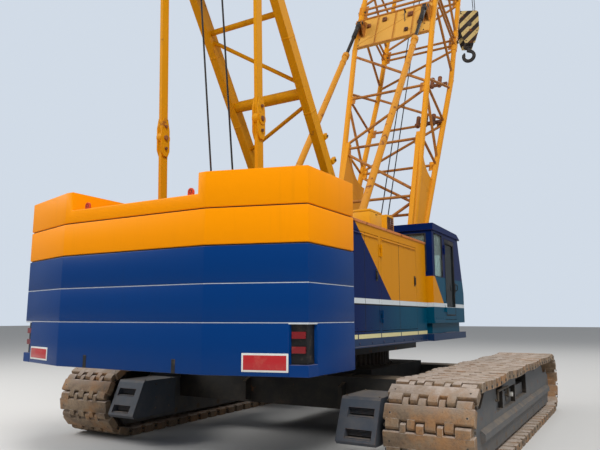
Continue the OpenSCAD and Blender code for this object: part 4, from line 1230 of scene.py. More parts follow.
def cushion(palette: Palette, name: str, place: Sequence[float], half: Sequence[float]) -> None:
    """A crowned seat pad with a sewn edge and two sewn channels.

    Args:
        palette: The finishes.
        name: Name of the piece.
        place: Its middle.
        half: Half its size along each axis.
    """
    part = bmesh.new()
    bmesh.ops.create_cube(part, size=2.0)
    bmesh.ops.subdivide_edges(part, edges=part.edges[:], cuts=15, use_grid_fill=True)
    thin = min(range(3), key=lambda axis: half[axis])
    wide = [axis for axis in range(3) if axis != thin]
    for vert in part.verts:
        unit = vert.co.copy()
        reach = sum(abs(value) ** 7 for value in unit) ** (1 / 7)
        unit = unit / max(reach, 1e-6) * max(abs(value) for value in unit)
        edge = max(abs(unit[axis]) for axis in wide)
        pull = 1 - 0.035 * sum(1 - min(abs(unit[axis]), 1) ** 2 for axis in wide)
        crown = 0.82 + 0.18 * math.cos(unit[wide[0]] * math.pi / 2) * math.cos(unit[wide[1]] * math.pi / 2)
        groove = sum(math.exp(-((unit[wide[0]] - mark) / 0.05) ** 2) for mark in (-0.45, 0.45))
        crown -= 0.09 * groove * (1 - edge ** 6)
        for axis in wide:
            vert.co[axis] = unit[axis] * half[axis] * (pull if edge > 0.7 else 1 - (1 - pull) * edge / 0.7)
        vert.co[thin] = unit[thin] * half[thin] * crown
    bmesh.ops.transform(part, matrix=Matrix.Translation(place), verts=part.verts)
    pad = Shape(name).use(Look.CLOTH)
    pad._join(part)
    piece = pad.finish(palette, Body.UPPER, "seat_cloth", ["operator_seat"], corner=1.2)


# Sub-assemblies


@dataclass
class Assembly:
    """A part of the crane that builds its own pieces."""

    palette: Palette

    def build(self) -> None:
        """Builds the pieces; each assembly has its own."""
        raise NotImplementedError


@dataclass
class Counterweight(Assembly):
    """Five stacked slabs with a notch, seams, recesses for the tail lamps and blank plates."""

    levels: tuple[float, ...] = (1.322, 1.847, 2.247, 2.647, 3.047, 3.447)
    facet_hw: float = 1.11
    corner_hw: float = 2.186
    front_hw: float = 2.22
    rear_y: float = -5.528
    corner_dy: float = 0.314
    front_y: float = -4.2
    notch_hw: float = 1.0
    notch_h: float = 0.235
    bevel: float = 0.014
    recess_x: float = 1.991
    recess_depth: float = 0.18
    recess_z: float = 1.44
    eye_x: float = 0.826
    eye_y: float = -5.43
    rear_plates: tuple[tuple[float, ...], ...] = ((1.756, 0.487, 0.184, 1.456), (-1.665, 0.55, 0.16, 1.45))

    def outline(self, inset: float = 0.0) -> list[Pair]:
        """The plan outline's corners as (x, y), set in all round.

        Args:
            inset: How far it is set in.

        Returns:
            The corners.
        """
        corner_y = self.rear_y + self.corner_dy
        left = [(-self.front_hw + inset, self.front_y - inset),
                (-self.corner_hw + inset, corner_y + inset * 0.6), (-self.facet_hw, self.rear_y + inset)]
        return left + [(-x, y) for x, y in reversed(left)]

    def top_slab(self) -> None:
        """The notched top slab with its two red lifting eyes."""
        shape = Shape("top_slab").use(Look.SLAB_ORANGE)
        part = bmesh.new()
        floor, top, low = self.levels[5] - self.notch_h, self.levels[5], self.levels[4] + 0.006
        rear = [(-self.corner_hw, self.rear_y + self.corner_dy), (-self.facet_hw, self.rear_y),
                (-self.notch_hw, self.rear_y), (self.notch_hw, self.rear_y), (self.facet_hw, self.rear_y),
                (self.corner_hw, self.rear_y + self.corner_dy)]
        front = [(x, self.front_y) for x in (-self.front_hw, -self.notch_hw, self.notch_hw, self.front_hw)]
        back = [part.verts.new((x, y, low)) for x, y in rear]
        fore = [part.verts.new((x, y, low)) for x, y in front]
        fields = [part.faces.new((fore[0], back[0], back[1], back[2], fore[1])),
                  part.faces.new((fore[1], back[2], back[3], fore[2])),
                  part.faces.new((fore[2], back[3], back[4], back[5], fore[3]))]
        bmesh.ops.recalc_face_normals(part, faces=part.faces)
        pulled = bmesh.ops.extrude_face_region(part, geom=fields)
        moved = [item for item in pulled["geom"] if isinstance(item, bmesh.types.BMVert)]
        bmesh.ops.translate(part, vec=(0, 0, floor - low), verts=moved)
        for side in SIDES:
            wing = [face for face in part.faces if face.calc_center_median().z > floor - 1e-4
                    and face.calc_center_median().x * side > self.notch_hw]
            pulled = bmesh.ops.extrude_face_region(part, geom=wing)
            moved = [item for item in pulled["geom"] if isinstance(item, bmesh.types.BMVert)]
            bmesh.ops.translate(part, vec=(0, 0, top - floor), verts=moved)
            bmesh.ops.delete(part, geom=[face for face in wing if face.is_valid], context="FACES_ONLY")
        bmesh.ops.recalc_face_normals(part, faces=part.faces)
        bmesh.ops.dissolve_limit(part, angle_limit=0.01, verts=part.verts[:], edges=part.edges[:])
        shape._bevel(part, self.bevel, 2, 0.1)
        shape._join(part)
        eye_z = floor + 0.058
        for side in SIDES:
            x, y = side * self.eye_x, self.eye_y
            arch = [(x + 0.042 * math.cos(step * math.pi / 8), eye_z + 0.042 * math.sin(step * math.pi / 8))
                    for step in range(9)]
            lug = [(x - 0.042, floor - 0.01), (x + 0.042, floor - 0.01), *arch]
            shape.use(Look.SIGNAL).plate(lug, Axis.Y, y - 0.0125, y + 0.0125, 0.003)
            place = Matrix.Translation((x, y, eye_z)) @ Matrix.Rotation(math.pi / 2, 4, "X")
            shape.use(Look.DARK)
            shape.lathe([(0.016, -0.0145), (0.022, -0.0145), (0.022, 0.0145), (0.016, 0.0145)], place, 20)
            shape.use(Look.SLAB_ORANGE)
            shape.box((x - 0.07, y - 0.03, floor - 0.004), (x + 0.07, y + 0.03, floor + 0.012), 0.004)
        shape.finish(self.palette, Body.UPPER, "orange_paint", ["counterweight_slab_5"])

    def plain_slabs(self) -> None:
        """The three plain slabs between the lowest and the top one."""
        looks = (Look.SLAB_BLUE, Look.SLAB_BLUE, Look.SLAB_ORANGE)
        for number, look in zip((1, 2, 3), looks):
            shape = Shape(f"slab_{number + 1}").use(look)
            under, over = (0.006 if step > 2 else 0.001 for step in (number, number + 1))
            shape.plate(self.outline(), Axis.Z, self.levels[number] + under, self.levels[number + 1] - over,
                        self.bevel, 2, 0.1)
            slot = "orange_paint" if look is Look.SLAB_ORANGE else "blue_paint"
            shape.finish(self.palette, Body.UPPER, slot, [f"counterweight_slab_{number + 1}"])

    def lowest_slab(self) -> None:
        """The lowest slab, with the lamp recesses and slots in its lower edge."""
        shape = Shape("lowest_slab").use(Look.SLAB_BLUE)
        low, top, cut = self.levels[0], self.levels[1] - 0.001, self.recess_z
        edge = self.recess_x
        corner_y = self.rear_y + self.corner_dy
        slope = self.corner_dy / (self.corner_hw - self.facet_hw)
        edge_y = self.rear_y + (edge - self.facet_hw) * slope
        behind = corner_y + self.recess_depth
        hw = self.corner_hw + (self.front_hw - self.corner_hw) * self.recess_depth / (self.front_y - corner_y)
        shape.plate([(-hw, behind), (-edge, behind), (-edge, edge_y), (-self.facet_hw, self.rear_y),
                     (self.facet_hw, self.rear_y), (edge, edge_y), (edge, behind), (hw, behind),
                     (self.front_hw, self.front_y), (-self.front_hw, self.front_y)], Axis.Z, low, top,
                    self.bevel, 2, 0.1)
        for side in SIDES:
            shape.plate([(side * (edge - 0.02), behind + 0.02), (side * (edge - 0.002), edge_y + 0.001),
                         (side * self.corner_hw, corner_y), (side * (hw - 0.001), behind + 0.02)], Axis.Z,
                        low, cut, 0.004)
        # Black boxes in the lower edge: painted shade for the insides of the two slots.
        shape.use(Look.BLACK)
        for x in (-0.62, 0.735):
            shape.box((x - 0.026, self.rear_y - 0.004, low + 0.002),
                      (x + 0.026, self.rear_y + 0.05, low + 0.145), 0.002)
        shape.finish(self.palette, Body.UPPER, "blue_paint", ["counterweight_base"])

    def seams(self) -> None:
        """Filler lines in the seams between the slabs."""
        shape = Shape("slab_seams")
        for number, look in zip((1, 2, 3, 4), (Look.SEAM, Look.SEAM, Look.DARK, Look.DARK)):
            shape.use(look).plate(self.outline(0.007 if look is Look.SEAM else 0.024), Axis.Z,
                                  self.levels[number] - 0.014, self.levels[number] + 0.014, 0.0)
        shape.finish(self.palette, Body.UPPER)

    def plates(self) -> None:
        """Blank plates on the rear face."""
        shape = Shape("rear_plates")
        slope = math.atan2(self.corner_dy, self.corner_hw - self.facet_hw)
        for middle, width, height, z in self.rear_plates:
            y = self.rear_y + (abs(middle) - self.facet_hw) * math.tan(slope)
            turn = Matrix.Rotation(slope * (1 if middle > 0 else -1), 4, "Z")
            for look, inset, deep in ((Look.PLATE, 0.0, 0.006), (Look.RED_PLATE, 0.018, 0.008)):
                low = (middle - width / 2 + inset, y - deep, z - height / 2 + inset)
                high = (middle + width / 2 - inset, y + 0.004, z + height / 2 - inset)
                shape.use(look).box(low, high, 0.012, 3, turn)
        shape.finish(self.palette, Body.UPPER)

    def build(self) -> None:
        """Builds every piece of the counterweight."""
        self.top_slab()
        self.plain_slabs()
        self.lowest_slab()
        self.seams()
        self.plates()


@dataclass
class Crawlers(Assembly):
    """The two tracks with their cast shoes."""

    middle_x: float = 2.83
    width: float = 1.06
    wheel_y: float = 3.1
    wheel_z: float = 0.58
    pin_r: float = 0.5
    count: int = 54
    out: float = 0.08
    sag: float = 0.03
    knuckles: tuple[Pair, ...] = ((0.03, 0.19), (0.28, 0.37), (0.48, 0.6), (0.69, 0.79))
    sockets: tuple[Pair, ...] = ((0.2, 0.27), (0.38, 0.47), (0.61, 0.68), (0.8, 0.97))
    supports: tuple[float, ...] = (-3.1, -1.5, 0.0, 1.5, 3.1)

    @property
    def pitch(self) -> float:
        """Distance between two hinge pins."""
        return (4 * self.wheel_y + 2 * math.pi * self.pin_r) / self.count

    def pin(self, index: int) -> Vector:
        """The place of a hinge pin as (0, y, z).

        Args:
            index: Number of the pin.

        Returns:
            Its place.
        """
        straight, bend = 2 * self.wheel_y, math.pi * self.pin_r
        way = (index * self.pitch) % (2 * (straight + bend))
        if way < straight:
            return Vector((0, -self.wheel_y + way, self.wheel_z - self.pin_r))
        if way < straight + bend:
            angle = (way - straight) / self.pin_r
            return Vector((0, self.wheel_y + self.pin_r * math.sin(angle),
                           self.wheel_z - self.pin_r * math.cos(angle)))
        if way < 2 * straight + bend:
            y = self.wheel_y - (way - straight - bend)
            low = max(place for place in self.supports if place <= y + 1e-9)
            high = min([place for place in self.supports if place > y + 1e-9] or [self.supports[-1]])
            share = (y - low) / (high - low) if high > low else 0.0
            return Vector((0, y, self.wheel_z + self.pin_r - self.sag * 4 * share * (1 - share)))
        angle = (way - 2 * straight - bend) / self.pin_r
        return Vector((0, -self.wheel_y - self.pin_r * math.sin(angle),
                       self.wheel_z + self.pin_r * math.cos(angle)))

    def shoe(self) -> Shape:
        """One cast shoe: X across, Y from pin to pin, Z out.

        Returns:
            The shape.
        """
        pitch, half = self.pitch, self.width / 2
        shoe = Shape("shoe").use(Look.SHOE)
        shoe.plate([(0.05, -0.035), (pitch - 0.05, -0.035), (pitch - 0.05, 0.066), (pitch - 0.062, self.out),
                    (0.062, self.out), (0.05, 0.066)], Axis.X, -half, half, 0.004)
        for spans, base, way in ((self.knuckles, pitch, 1), (self.sockets, 0.0, -1)):
            for low, high in spans:
                corners = ((-0.09, -0.04), (0.02, -0.044), (0.042, -0.015), (0.046, 0.03), (0.03, 0.06),
                           (0.0, 0.074), (-0.06, 0.0815))
                outline = [(base + way * ahead, out) for ahead, out in corners]
                shoe.plate(outline, Axis.X, half - self.width * high + 0.004,
                           half - self.width * low - 0.004, 0.0)
        for side in SIDES:
            shoe.box((side * 0.09 - 0.03, pitch * 0.3, -0.07), (side * 0.09 + 0.03, pitch * 0.7, -0.03), 0.0)
            shoe.use(Look.DARK).rod((side * (half - 0.08), pitch * 0.56, self.out - 0.01),
                                    (side * (half - 0.08), pitch * 0.56, self.out + 0.0006), 0.013, 8)
            shoe.rod((side * (half - 0.01), 0, 0), (side * (half + 0.004), 0, 0), 0.02, 8).use(Look.SHOE)
        return shoe

    def places(self, side: int) -> list[Matrix]:
        """Where each shoe of a track goes.

        Args:
            side: Side of the track.

        Returns:
            A place for each shoe.
        """
        places = []
        left = Vector((-1, 0, 0))
        for index in range(self.count):
            start, end = self.pin(index), self.pin(index + 1)
            along = (end - start).normalized()
            turn = Matrix((left, along, left.cross(along))).transposed().to_4x4()
            shift = Matrix.Translation((self.middle_x, start.y, start.z))
            places.append(Matrix.Diagonal((side, 1, 1, 1)) @ shift @ turn)
        return places

    def build(self) -> None:
        """Builds both tracks."""
        for side, name in ((-1, "left"), (1, "right")):
            track = Shape(f"{name}_shoes").copy(self.shoe(), self.places(side))
            track.finish(self.palette, Body.LOWER, "cast_shoes", [f"track_{name}"])


@dataclass
class House(Assembly):
    """The machinery house's roof trim, door panels, latches, louvres, seams and roof boxes."""

    outer_x: float = 1.8
    inner_x: float = 1.02
    rear_y: float = -4.1
    front_y: dict[int, float] = field(default_factory=lambda: {1: -0.3, -1: 0.9})
    roof_z: float = 3.2
    doors: tuple[Pair, ...] = ((-3.96, -2.44), (-2.36, -0.8))
    door_z: Pair = (1.71, 3.065)
    handle_z: Pair = (2.44, 2.55)
    seams: tuple[float, ...] = (-2.94, -1.62)
    rib_pitch: float = 0.62
    louvre_count: int = 11
    louvre_pitch: float = 0.085
    rivet_count: int = 6
    rivet_pitch: float = 0.22
    bolt_pitch: float = 0.42
    box_x: Pair = (1.3, 1.6)

    def lip(self, edge: float, way: int, gap: float, out: float, rise: float) -> list[Pair]:
        """Section of the angle trim on one roof edge.

        Args:
            edge: The roof's edge, across it.
            way: 1 where the trim's outer side is the higher value, else -1.
            gap: Distance from the edge to the trim's inner face.
            out: Distance to its outer face.
            rise: How far it stands over the roof.

        Returns:
            Corners as (across, height).
        """
        roof, low = self.roof_z, self.roof_z - 0.024
        inner, outer, back = edge + way * gap, edge + way * out, edge - way * 0.05
        return [(back, roof), (inner, roof), (inner, low), (outer, low), (outer, roof + rise),
                (back, roof + 0.008)]

    def trim(self) -> None:
        """Angle trim round both roofs, and the ribs across them."""
        shape = Shape("roof_trim").use(Look.ROOF)
        for side in SIDES:
            rear, front = self.rear_y, self.front_y[side]
            for edge, way in ((self.outer_x, 1), (self.inner_x, -1)):
                outline = self.lip(edge, way, 0.004, 0.012, 0.014)
                shape.plate([(side * x, z) for x, z in outline], Axis.Y, rear - 0.01, front + 0.01, 0.002)
            low_x, high_x = across(side, self.inner_x + 0.02, self.outer_x - 0.02)
            for edge, way in ((rear, -1), (front, 1)):
                shape.plate(self.lip(edge, way, 0.003, 0.01, 0.012), Axis.X, low_x, high_x, 0.002)
            for rib in range(1, round((front - rear) / self.rib_pitch)):
                y = rear + rib * self.rib_pitch
                shape.box((low_x + 0.05, y - 0.02, self.roof_z - 0.002),
                          (high_x - 0.05, y + 0.02, self.roof_z + 0.01))
        shape.finish(self.palette, Body.UPPER)

    def on_wall(self, shape: Shape, side: int, skin: Pair, y: Pair, z: Pair, bevel: float = 0.003,
                segments: int = 1, turn: Matrix | None = None) -> None:
        """Adds a block on a side wall.

        Args:
            shape: Shape that gets the block.
            side: Side of the house.
            skin: Where it starts and ends, outward from the wall's face.
            y: Its two ends along the house.
            z: Its two heights.
            bevel: Size of the rounded edges.
            segments: Segments of each rounded edge.
            turn: Turn about the block's middle.
        """
        x0, x1 = across(side, self.outer_x + skin[0], self.outer_x + skin[1])
        shape.box((x0, y[0], z[0]), (x1, y[1], z[1]), bevel, segments, turn)

    def door(self, side: int, span: Pair, body: Body, name: str) -> None:
        """One door's pressed panels and louvres or seam line, latch plate, rain rail and rivets.

        Args:
            side: Side of the house.
            span: The door's two ends along the house.
            body: The door's body.
            name: Name of the piece.
        """
        shape = Shape(name).use(Look.HOUSE)
        low, high = span[0] + 0.008, span[1] - 0.008
        base, top = self.door_z
        seams = [seam for seam in self.seams if low < seam < high]
        if side < 0:
            fields = [low + 0.09, *seams, high - 0.16]
            for start, end in zip(fields, fields[1:]):
                self.on_wall(shape, side, (-0.002, 0.005), (start + 0.012, end - 0.012),
                             (base + 0.09, top - 0.09), 0.005, 2)
        shape.use(Look.BLACK)
        if side > 0:
            for seam in seams:
                self.on_wall(shape, side, (-0.002, 0.0012), (seam - 0.004, seam + 0.004), self.door_z, 0.0)
        y0, y1 = high - 0.1 - 0.012, high - 0.045
        z0, z1 = self.handle_z
        self.on_wall(shape, side, (-0.001, 0.004), (y0, y1), (z0 - 0.03, z1 + 0.03), 0.004, 2)
        self.on_wall(shape, side, (0.003, 0.0185), (y0 + 0.014, y1 - 0.012), (z0 - 0.004, z1 + 0.004),
                     0.005, 2)
        if side < 0:
            for step in range(self.louvre_count):
                z = base + 0.22 + step * self.louvre_pitch
                self.on_wall(shape, side, (0.002, 0.012), (low + 0.2, high - 0.32), (z - 0.022, z + 0.022),
                             turn=Matrix.Rotation(side * -0.5, 4, "Y"))
        shape.use(Look.HOUSE)
        self.on_wall(shape, side, (-0.002, 0.016), (low + 0.02, high - 0.02), (top - 0.045, top - 0.03))
        for z in (base + 0.045, top - 0.065):
            spots = [(side * (self.outer_x - 0.001), low + 0.1 + rivet * self.rivet_pitch, z)
                     for rivet in range(self.rivet_count)]
            shape.bolts(spots, Axis.X, 0.008, 0.005, side)
        shape.finish(self.palette, body)

    def edges(self) -> None:
        """Rubber at the door openings, base rails and deck bolts."""
        shape = Shape("house_edges")
        for side in SIDES:
            shape.use(Look.RUBBER)
            for low, high in self.doors:
                for y in (low + 0.0035, high - 0.0035):
                    self.on_wall(shape, side, (-0.044, -0.002), (y - 0.0025, y + 0.0025), self.door_z, 0.0)
            shape.use(Look.DECK)
            front = self.front_y[side]
            self.on_wall(shape, side, (-0.004, 0.014), (self.rear_y, front), (1.5, 1.522))
            spots = [(side * (self.outer_x - 0.002), self.rear_y + 0.12 + bolt * self.bolt_pitch, 1.556)
                     for bolt in range(round((front - self.rear_y) / self.bolt_pitch))]
            shape.bolts(spots, Axis.X, 0.014, 0.01, side)
        shape.finish(self.palette, Body.UPPER)

    def roof_goods(self) -> None:
        """The tool box with its lid, the intake grille and hoses on the right roof."""
        shape = Shape("roof_goods").use(Look.BOX_YELLOW)
        (x0, x1), roof = self.box_x, self.roof_z
        shape.box((x0 + 0.003, -2.247, roof), (x1 - 0.003, -1.783, roof + 0.29), 0.008, 2)
        shape.box((x0, -2.25, roof + 0.292), (x1, -1.78, roof + 0.33), 0.01, 2)
        shape.box((x1 - 0.008, -2.02, roof + 0.23), (x1, -1.98, roof + 0.31), 0.002).use(Look.DARK)
        shape.box((x1 - 0.006, -2.035, roof + 0.255), (x1, -1.965, roof + 0.275), 0.002)
        for y in (-2.16, -1.87):
            shape.box((x0 + 0.05, y - 0.03, roof + 0.328), (x0 + 0.12, y + 0.03, roof + 0.334), 0.002)
        shape.use(Look.BOX_YELLOW).box((x0 + 0.003, -1.567, roof), (x1 - 0.003, -1.263, roof + 0.03), 0.004)
        shape.box((x0, -1.57, roof + 0.31), (x1, -1.26, roof + 0.34), 0.008, 2)
        shape.box((x0 + 0.003, -1.569, roof + 0.02), (x1 - 0.003, -1.562, roof + 0.32), 0.002)
        for x in (x0 + 0.01, x1 - 0.01):
            for y in (-1.56, -1.27):
                shape.box((x - 0.008, y - 0.008, roof + 0.02), (x + 0.008, y + 0.008, roof + 0.32), 0.002)
        shape.use(Look.RUSTY)
        for bar in range(9):
            low = roof + 0.046 + bar * 0.03
            for x in (x0 + 0.006, x1 - 0.006):
                shape.box((x - 0.004, -1.555, low), (x + 0.004, -1.275, low + 0.016), 0.0)
            shape.box((x0 + 0.015, -1.27, low), (x1 - 0.015, -1.262, low + 0.016), 0.0)
        shape.use(Look.DARK).box((x0 + 0.04, -1.52, roof + 0.03), (x1 - 0.04, -1.31, roof + 0.31), 0.01)
        shape.finish(self.palette, Body.UPPER, "orange_paint", ["roof_boxes"])
        hoses = Shape("roof_hoses").use(Look.RUBBER)
        for number, z in enumerate((3.225, 3.23, 3.222)):
            x = 1.12 + number * 0.055
            bend = [(x, -3.6, z), (x + 0.02, -2.9, z), (x - 0.02, -2.1, z), (x + 0.01, -1.2, z), (x, -0.5, z),
                    (x - 0.01, -0.33, z - 0.01)]
            hoses.pipe(smooth_path(bend, 6), 0.018)
        hoses.use(Look.DARK)
        for y in (-3.4, -2.5, -1.6, -0.7):
            for low, high in ((roof, roof + 0.01), (roof + 0.042, roof + 0.05)):
                hoses.box((1.08, y - 0.02, low), (1.27, y + 0.02, high), 0.002)
        hoses.finish(self.palette, Body.UPPER)

    def build(self) -> None:
        """Builds the house's dressing."""
        self.trim()
        bodies = {(-1, "rear"): Body.LEFT_REAR_DOOR, (-1, "front"): Body.LEFT_FRONT_DOOR,
                  (1, "rear"): Body.RIGHT_REAR_DOOR, (1, "front"): Body.RIGHT_FRONT_DOOR}
        for (side, end), body in bodies.items():
            name = f"{'right' if side > 0 else 'left'}_{end}_door_panel"
            self.door(side, self.doors[end == "front"], body, name)
        self.edges()
        self.roof_goods()


@dataclass
class EngineBay(Assembly):
    """The engine block's cover, pulleys, pipes and filters inside the left house."""

    low: Point = (-1.67, -3.6, 1.62)
    high: Point = (-1.14, -1.7, 2.65)
    cylinders: int = 6
    cylinder_pitch: float = 0.19

    def build(self) -> None:
        """Builds a ribbed block with its side pipes; it shows through open doors."""
        shape = Shape("engine_dressing").use(Look.ENGINE)
        x0, y0, z0 = self.low
        x1, y1, z1 = self.high
        shape.box((x0 + 0.06, y0 + 0.3, z0 + 0.12), (x1 - 0.04, y1 - 0.3, z1 - 0.3), 0.03, 2)
        shape.box((x0 + 0.12, y0 + 0.36, z1 - 0.3), (x1 - 0.12, y1 - 0.4, z1 - 0.05), 0.04, 3)
        for cylinder in range(self.cylinders):
            y = y0 + 0.46 + cylinder * self.cylinder_pitch
            shape.box((x0 + 0.14, y - 0.07, z1 - 0.06), (x1 - 0.14, y + 0.07, z1), 0.015, 2)
            shape.box((x0 + 0.03, y - 0.03, z0 + 0.3), (x0 + 0.07, y + 0.03, z1 - 0.4), 0.01)
        for x in (x0 + 0.1, x1 - 0.1):
            shape.box((x - 0.04, y0 + 0.05, z0), (x + 0.04, y1 - 0.05, z0 + 0.12), 0.006)
        turn = Matrix.Rotation(-math.pi / 2, 4, "X")
        shape.use(Look.CAST)
        for z, radius in ((z0 + 0.35, 0.16), (z0 + 0.68, 0.1)):
            place = Matrix.Translation(((x0 + x1) / 2, y1 - 0.3, z)) @ turn
            shape.lathe([(0.0, 0), (radius, 0), (radius, 0.02), (radius - 0.03, 0.035), (radius, 0.05),
                         (radius, 0.07), (0.04, 0.08), (0.0, 0.08)], place, 24)
        exhaust = [(x0 + 0.1, y0 + 0.5, z1 - 0.2), (x0 + 0.06, y0 + 0.9, z1 - 0.18),
                   (x0 + 0.06, y1 - 0.6, z1 - 0.18), (x0 + 0.12, y1 - 0.35, z1 - 0.1)]
        shape.use(Look.RUSTY).pipe(smooth_path(exhaust, 5), 0.04, 10)
        shape.use(Look.BLACK)
        for y in (y0 + 0.6, y0 + 0.8):
            shape.lathe([(0.0, 0), (0.05, 0.01), (0.055, 0.03), (0.055, 0.2), (0.03, 0.23), (0.0, 0.23)],
                        Matrix.Translation((x0 + 0.055, y, z0 + 0.15)), 16)
        shape.box((x0, y0, z0), (x0 + 0.24, y0 + 0.28, z0 + 0.3), 0.01, 2)
        shape.use(Look.ENGINE).box((x1 - 0.24, y0, z0), (x1, y0 + 0.28, z1 - 0.1), 0.02, 2)
        shape.finish(self.palette, Body.UPPER, "dark_paint", ["engine"])


@dataclass
class Cab(Assembly):
    """The cab's window rubbers, wiper, work lamps, door furniture and inside."""

    x0: float = 1.04
    x1: float = 1.92
    y0: float = -0.25
    y1: float = 1.76
    z0: float = 1.8
    z1: float = 3.48
    thick: float = 0.05
    sill: float = 2.63
    door: Pair = (0.43, 1.18)
    door_z: Pair = (1.86, 3.37)
    screen_top_y: float = 1.43

    @staticmethod
    def rim(shape: Shape, axis: Axis, near: float, far: float, low: Pair, high: Pair,
            width: float = 0.022) -> None:
        """Adds four bars round a window.

        Args:
            shape: Shape that gets the bars.
            axis: Axis that the window looks along.
            near: Start of the bars on that axis.
            far: End of the bars on that axis.
            low: Lowest corner in the other two axes.
            high: Highest corner.
            width: Width of a bar.
        """
        u0, v0 = low
        u1, v1 = high
        bars = (((u0 - width, v0 - width), (u0 + width * 0.4, v1 + width)),
                ((u1 - width * 0.4, v0 - width), (u1 + width, v1 + width)),
                ((u0 + width * 0.4, v0 - width), (u1 - width * 0.4, v0 + width * 0.4)),
                ((u0 + width * 0.4, v1 - width * 0.4), (u1 - width * 0.4, v1 + width)))
        for start, end in bars:
            first, last = list(start), list(end)
            first.insert(axis.value, near)
            last.insert(axis.value, far)
            shape.box(first, last, 0.006, 2)

    def rubbers(self) -> None:
        """Rubber round the shell's windows, the screen's frame and its wiper."""
        shape = Shape("cab_rubbers").use(Look.RUBBER)
        self.rim(shape, Axis.X, self.x1 - 0.02, self.x1 + 0.004, (self.y0 + 0.11, self.sill),
                 (self.door[0] - 0.09, self.z1 - 0.09), 0.01)
        self.rim(shape, Axis.X, self.x0 - 0.006, self.x0 + 0.02, (self.y0 + 0.11, self.sill),
                 (self.screen_top_y - 0.15, self.z1 - 0.11))
        self.rim(shape, Axis.Y, self.y0 - 0.006, self.y0 + 0.02, (self.x0 + 0.13, self.sill + 0.09),
                 (self.x1 - 0.13, self.z1 - 0.11))
        self.rim(shape, Axis.Y, self.y1 - 0.02, self.y1 + 0.006, (self.x0 + 0.12, self.z0 + 0.15),
                 (self.x1 - 0.12, self.sill - 0.33))
        foot = Vector((0, self.y1, self.sill - 0.25))
        along = Vector((0, self.screen_top_y - self.y1, self.z1 - 0.06 - self.sill + 0.25)).normalized()
        outward = Vector((0, along.z, -along.y))
        turn = Matrix.Rotation(math.atan2(along.z, along.y), 4, "X")
        start, reach = foot + along * 0.08, 0.76
        for x in (self.x0 + 0.07, self.x1 - 0.07):
            middle = start + along * reach / 2 + Vector((x, 0, 0)) - outward * 0.004
            shape.block(middle, (0.014, reach / 2 + 0.014, 0.012), 0.005, 2, turn)
        for share in (0.0, 1.0):
            middle = start + along * reach * share - outward * 0.004
            shape.box(Vector((self.x0 + 0.07, middle.y - 0.014, middle.z - 0.012)),
                      Vector((self.x1 - 0.07, middle.y + 0.014, middle.z + 0.012)), 0.005, 2, turn)
        shape.use(Look.BLACK)
        pivot = Vector((self.x1 - 0.2, 0, 0)) + foot + along * 0.03 + outward * 0.012
        tip = Vector((self.x0 + 0.42, 0, 0)) + foot + along * 0.44 + outward * 0.02
        shape.rod(pivot - outward * 0.02, pivot + outward * 0.018, 0.018, 12)
        shape.rod(pivot, tip, 0.006, 8)
        blade = Vector((0.12, 0, 0)) + along * 0.26
        shape.rod(tip - blade, tip + blade, 0.007, 6)
        shape.finish(self.palette, Body.UPPER)

    def outside(self) -> None:
        """Kick strip with its bolts, work lamps on the roof and the door's tread plate."""
        shape = Shape("cab_outside").use(Look.CAB)
        shape.box((self.x1 - 0.002, self.y0 + 0.02, self.z0 + 0.001),
                  (self.x1 + 0.008, self.door[0] - 0.03, self.z0 + 0.04), 0.003)
        spots = [(self.x1 - 0.001, self.y0 + 0.1 + bolt * 0.14, self.z0 + 0.09) for bolt in range(4)]
        shape.bolts(spots, Axis.X, 0.009, 0.007)
        shape.use(Look.BLACK)
        for x in (self.x0 + 0.12, self.x1 - 0.12):
            shape.box((x - 0.055, 1.39, 3.46), (x + 0.055, 1.46, 3.55), 0.012, 2)
            shape.use(Look.CLEAR_LENS).box((x - 0.042, 1.456, 3.472), (x + 0.042, 1.468, 3.538), 0.008, 2)
            shape.use(Look.BLACK)
        shape.use(Look.DECK).box((self.x1 - 0.1, self.door[0], 1.618), (self.x1, self.door[1], 1.63), 0.003)
        shape.finish(self.palette, Body.UPPER)

    def door_parts(self) -> None:
        """The door's pane rubber, a black head strip that reads as more dark window (painted shade), lower
        panel, handle and lock.
        """
        shape = Shape("cab_door_parts").use(Look.RUBBER)
        low, high = self.door[0] + 0.09, self.door[1] - 0.09
        base, top = self.door_z
        self.rim(shape, Axis.X, self.x1 - 0.02, self.x1 + 0.006, (low, base + 0.09), (high, top - 0.09), 0.02)
        # Black strip above the pane: painted shade that makes the dark window reach higher.
        shape.use(Look.BLACK)
        shape.box((self.x1 - 0.002, low - 0.03, top - 0.085), (self.x1 + 0.004, high + 0.03, top - 0.012),
                  0.003)
        shape.use(Look.CAB)
        shape.box((self.x1 - 0.002, low - 0.01, base + 0.07), (self.x1 + 0.005, high + 0.01, 2.09), 0.003)
        shape.use(Look.BLACK)
        y = self.door[1] - 0.045
        shape.box((self.x1 - 0.002, y - 0.022, 2.38), (self.x1 + 0.01, y + 0.022, 2.56), 0.005, 2)
        shape.pipe(smooth_path([(self.x1, y, 2.41), (self.x1 + 0.04, y, 2.42), (self.x1 + 0.045, y, 2.47),
                                (self.x1 + 0.04, y, 2.52), (self.x1, y, 2.53)], 3), 0.009)
        shape.use(Look.BRIGHT).lathe([(0.0, 0.0), (0.013, 0.0), (0.013, 0.006), (0.0, 0.008)],
                                     along_x((self.x1 + 0.009, y, 2.395)), 12)
        shape.finish(self.palette, Body.CAB_DOOR)

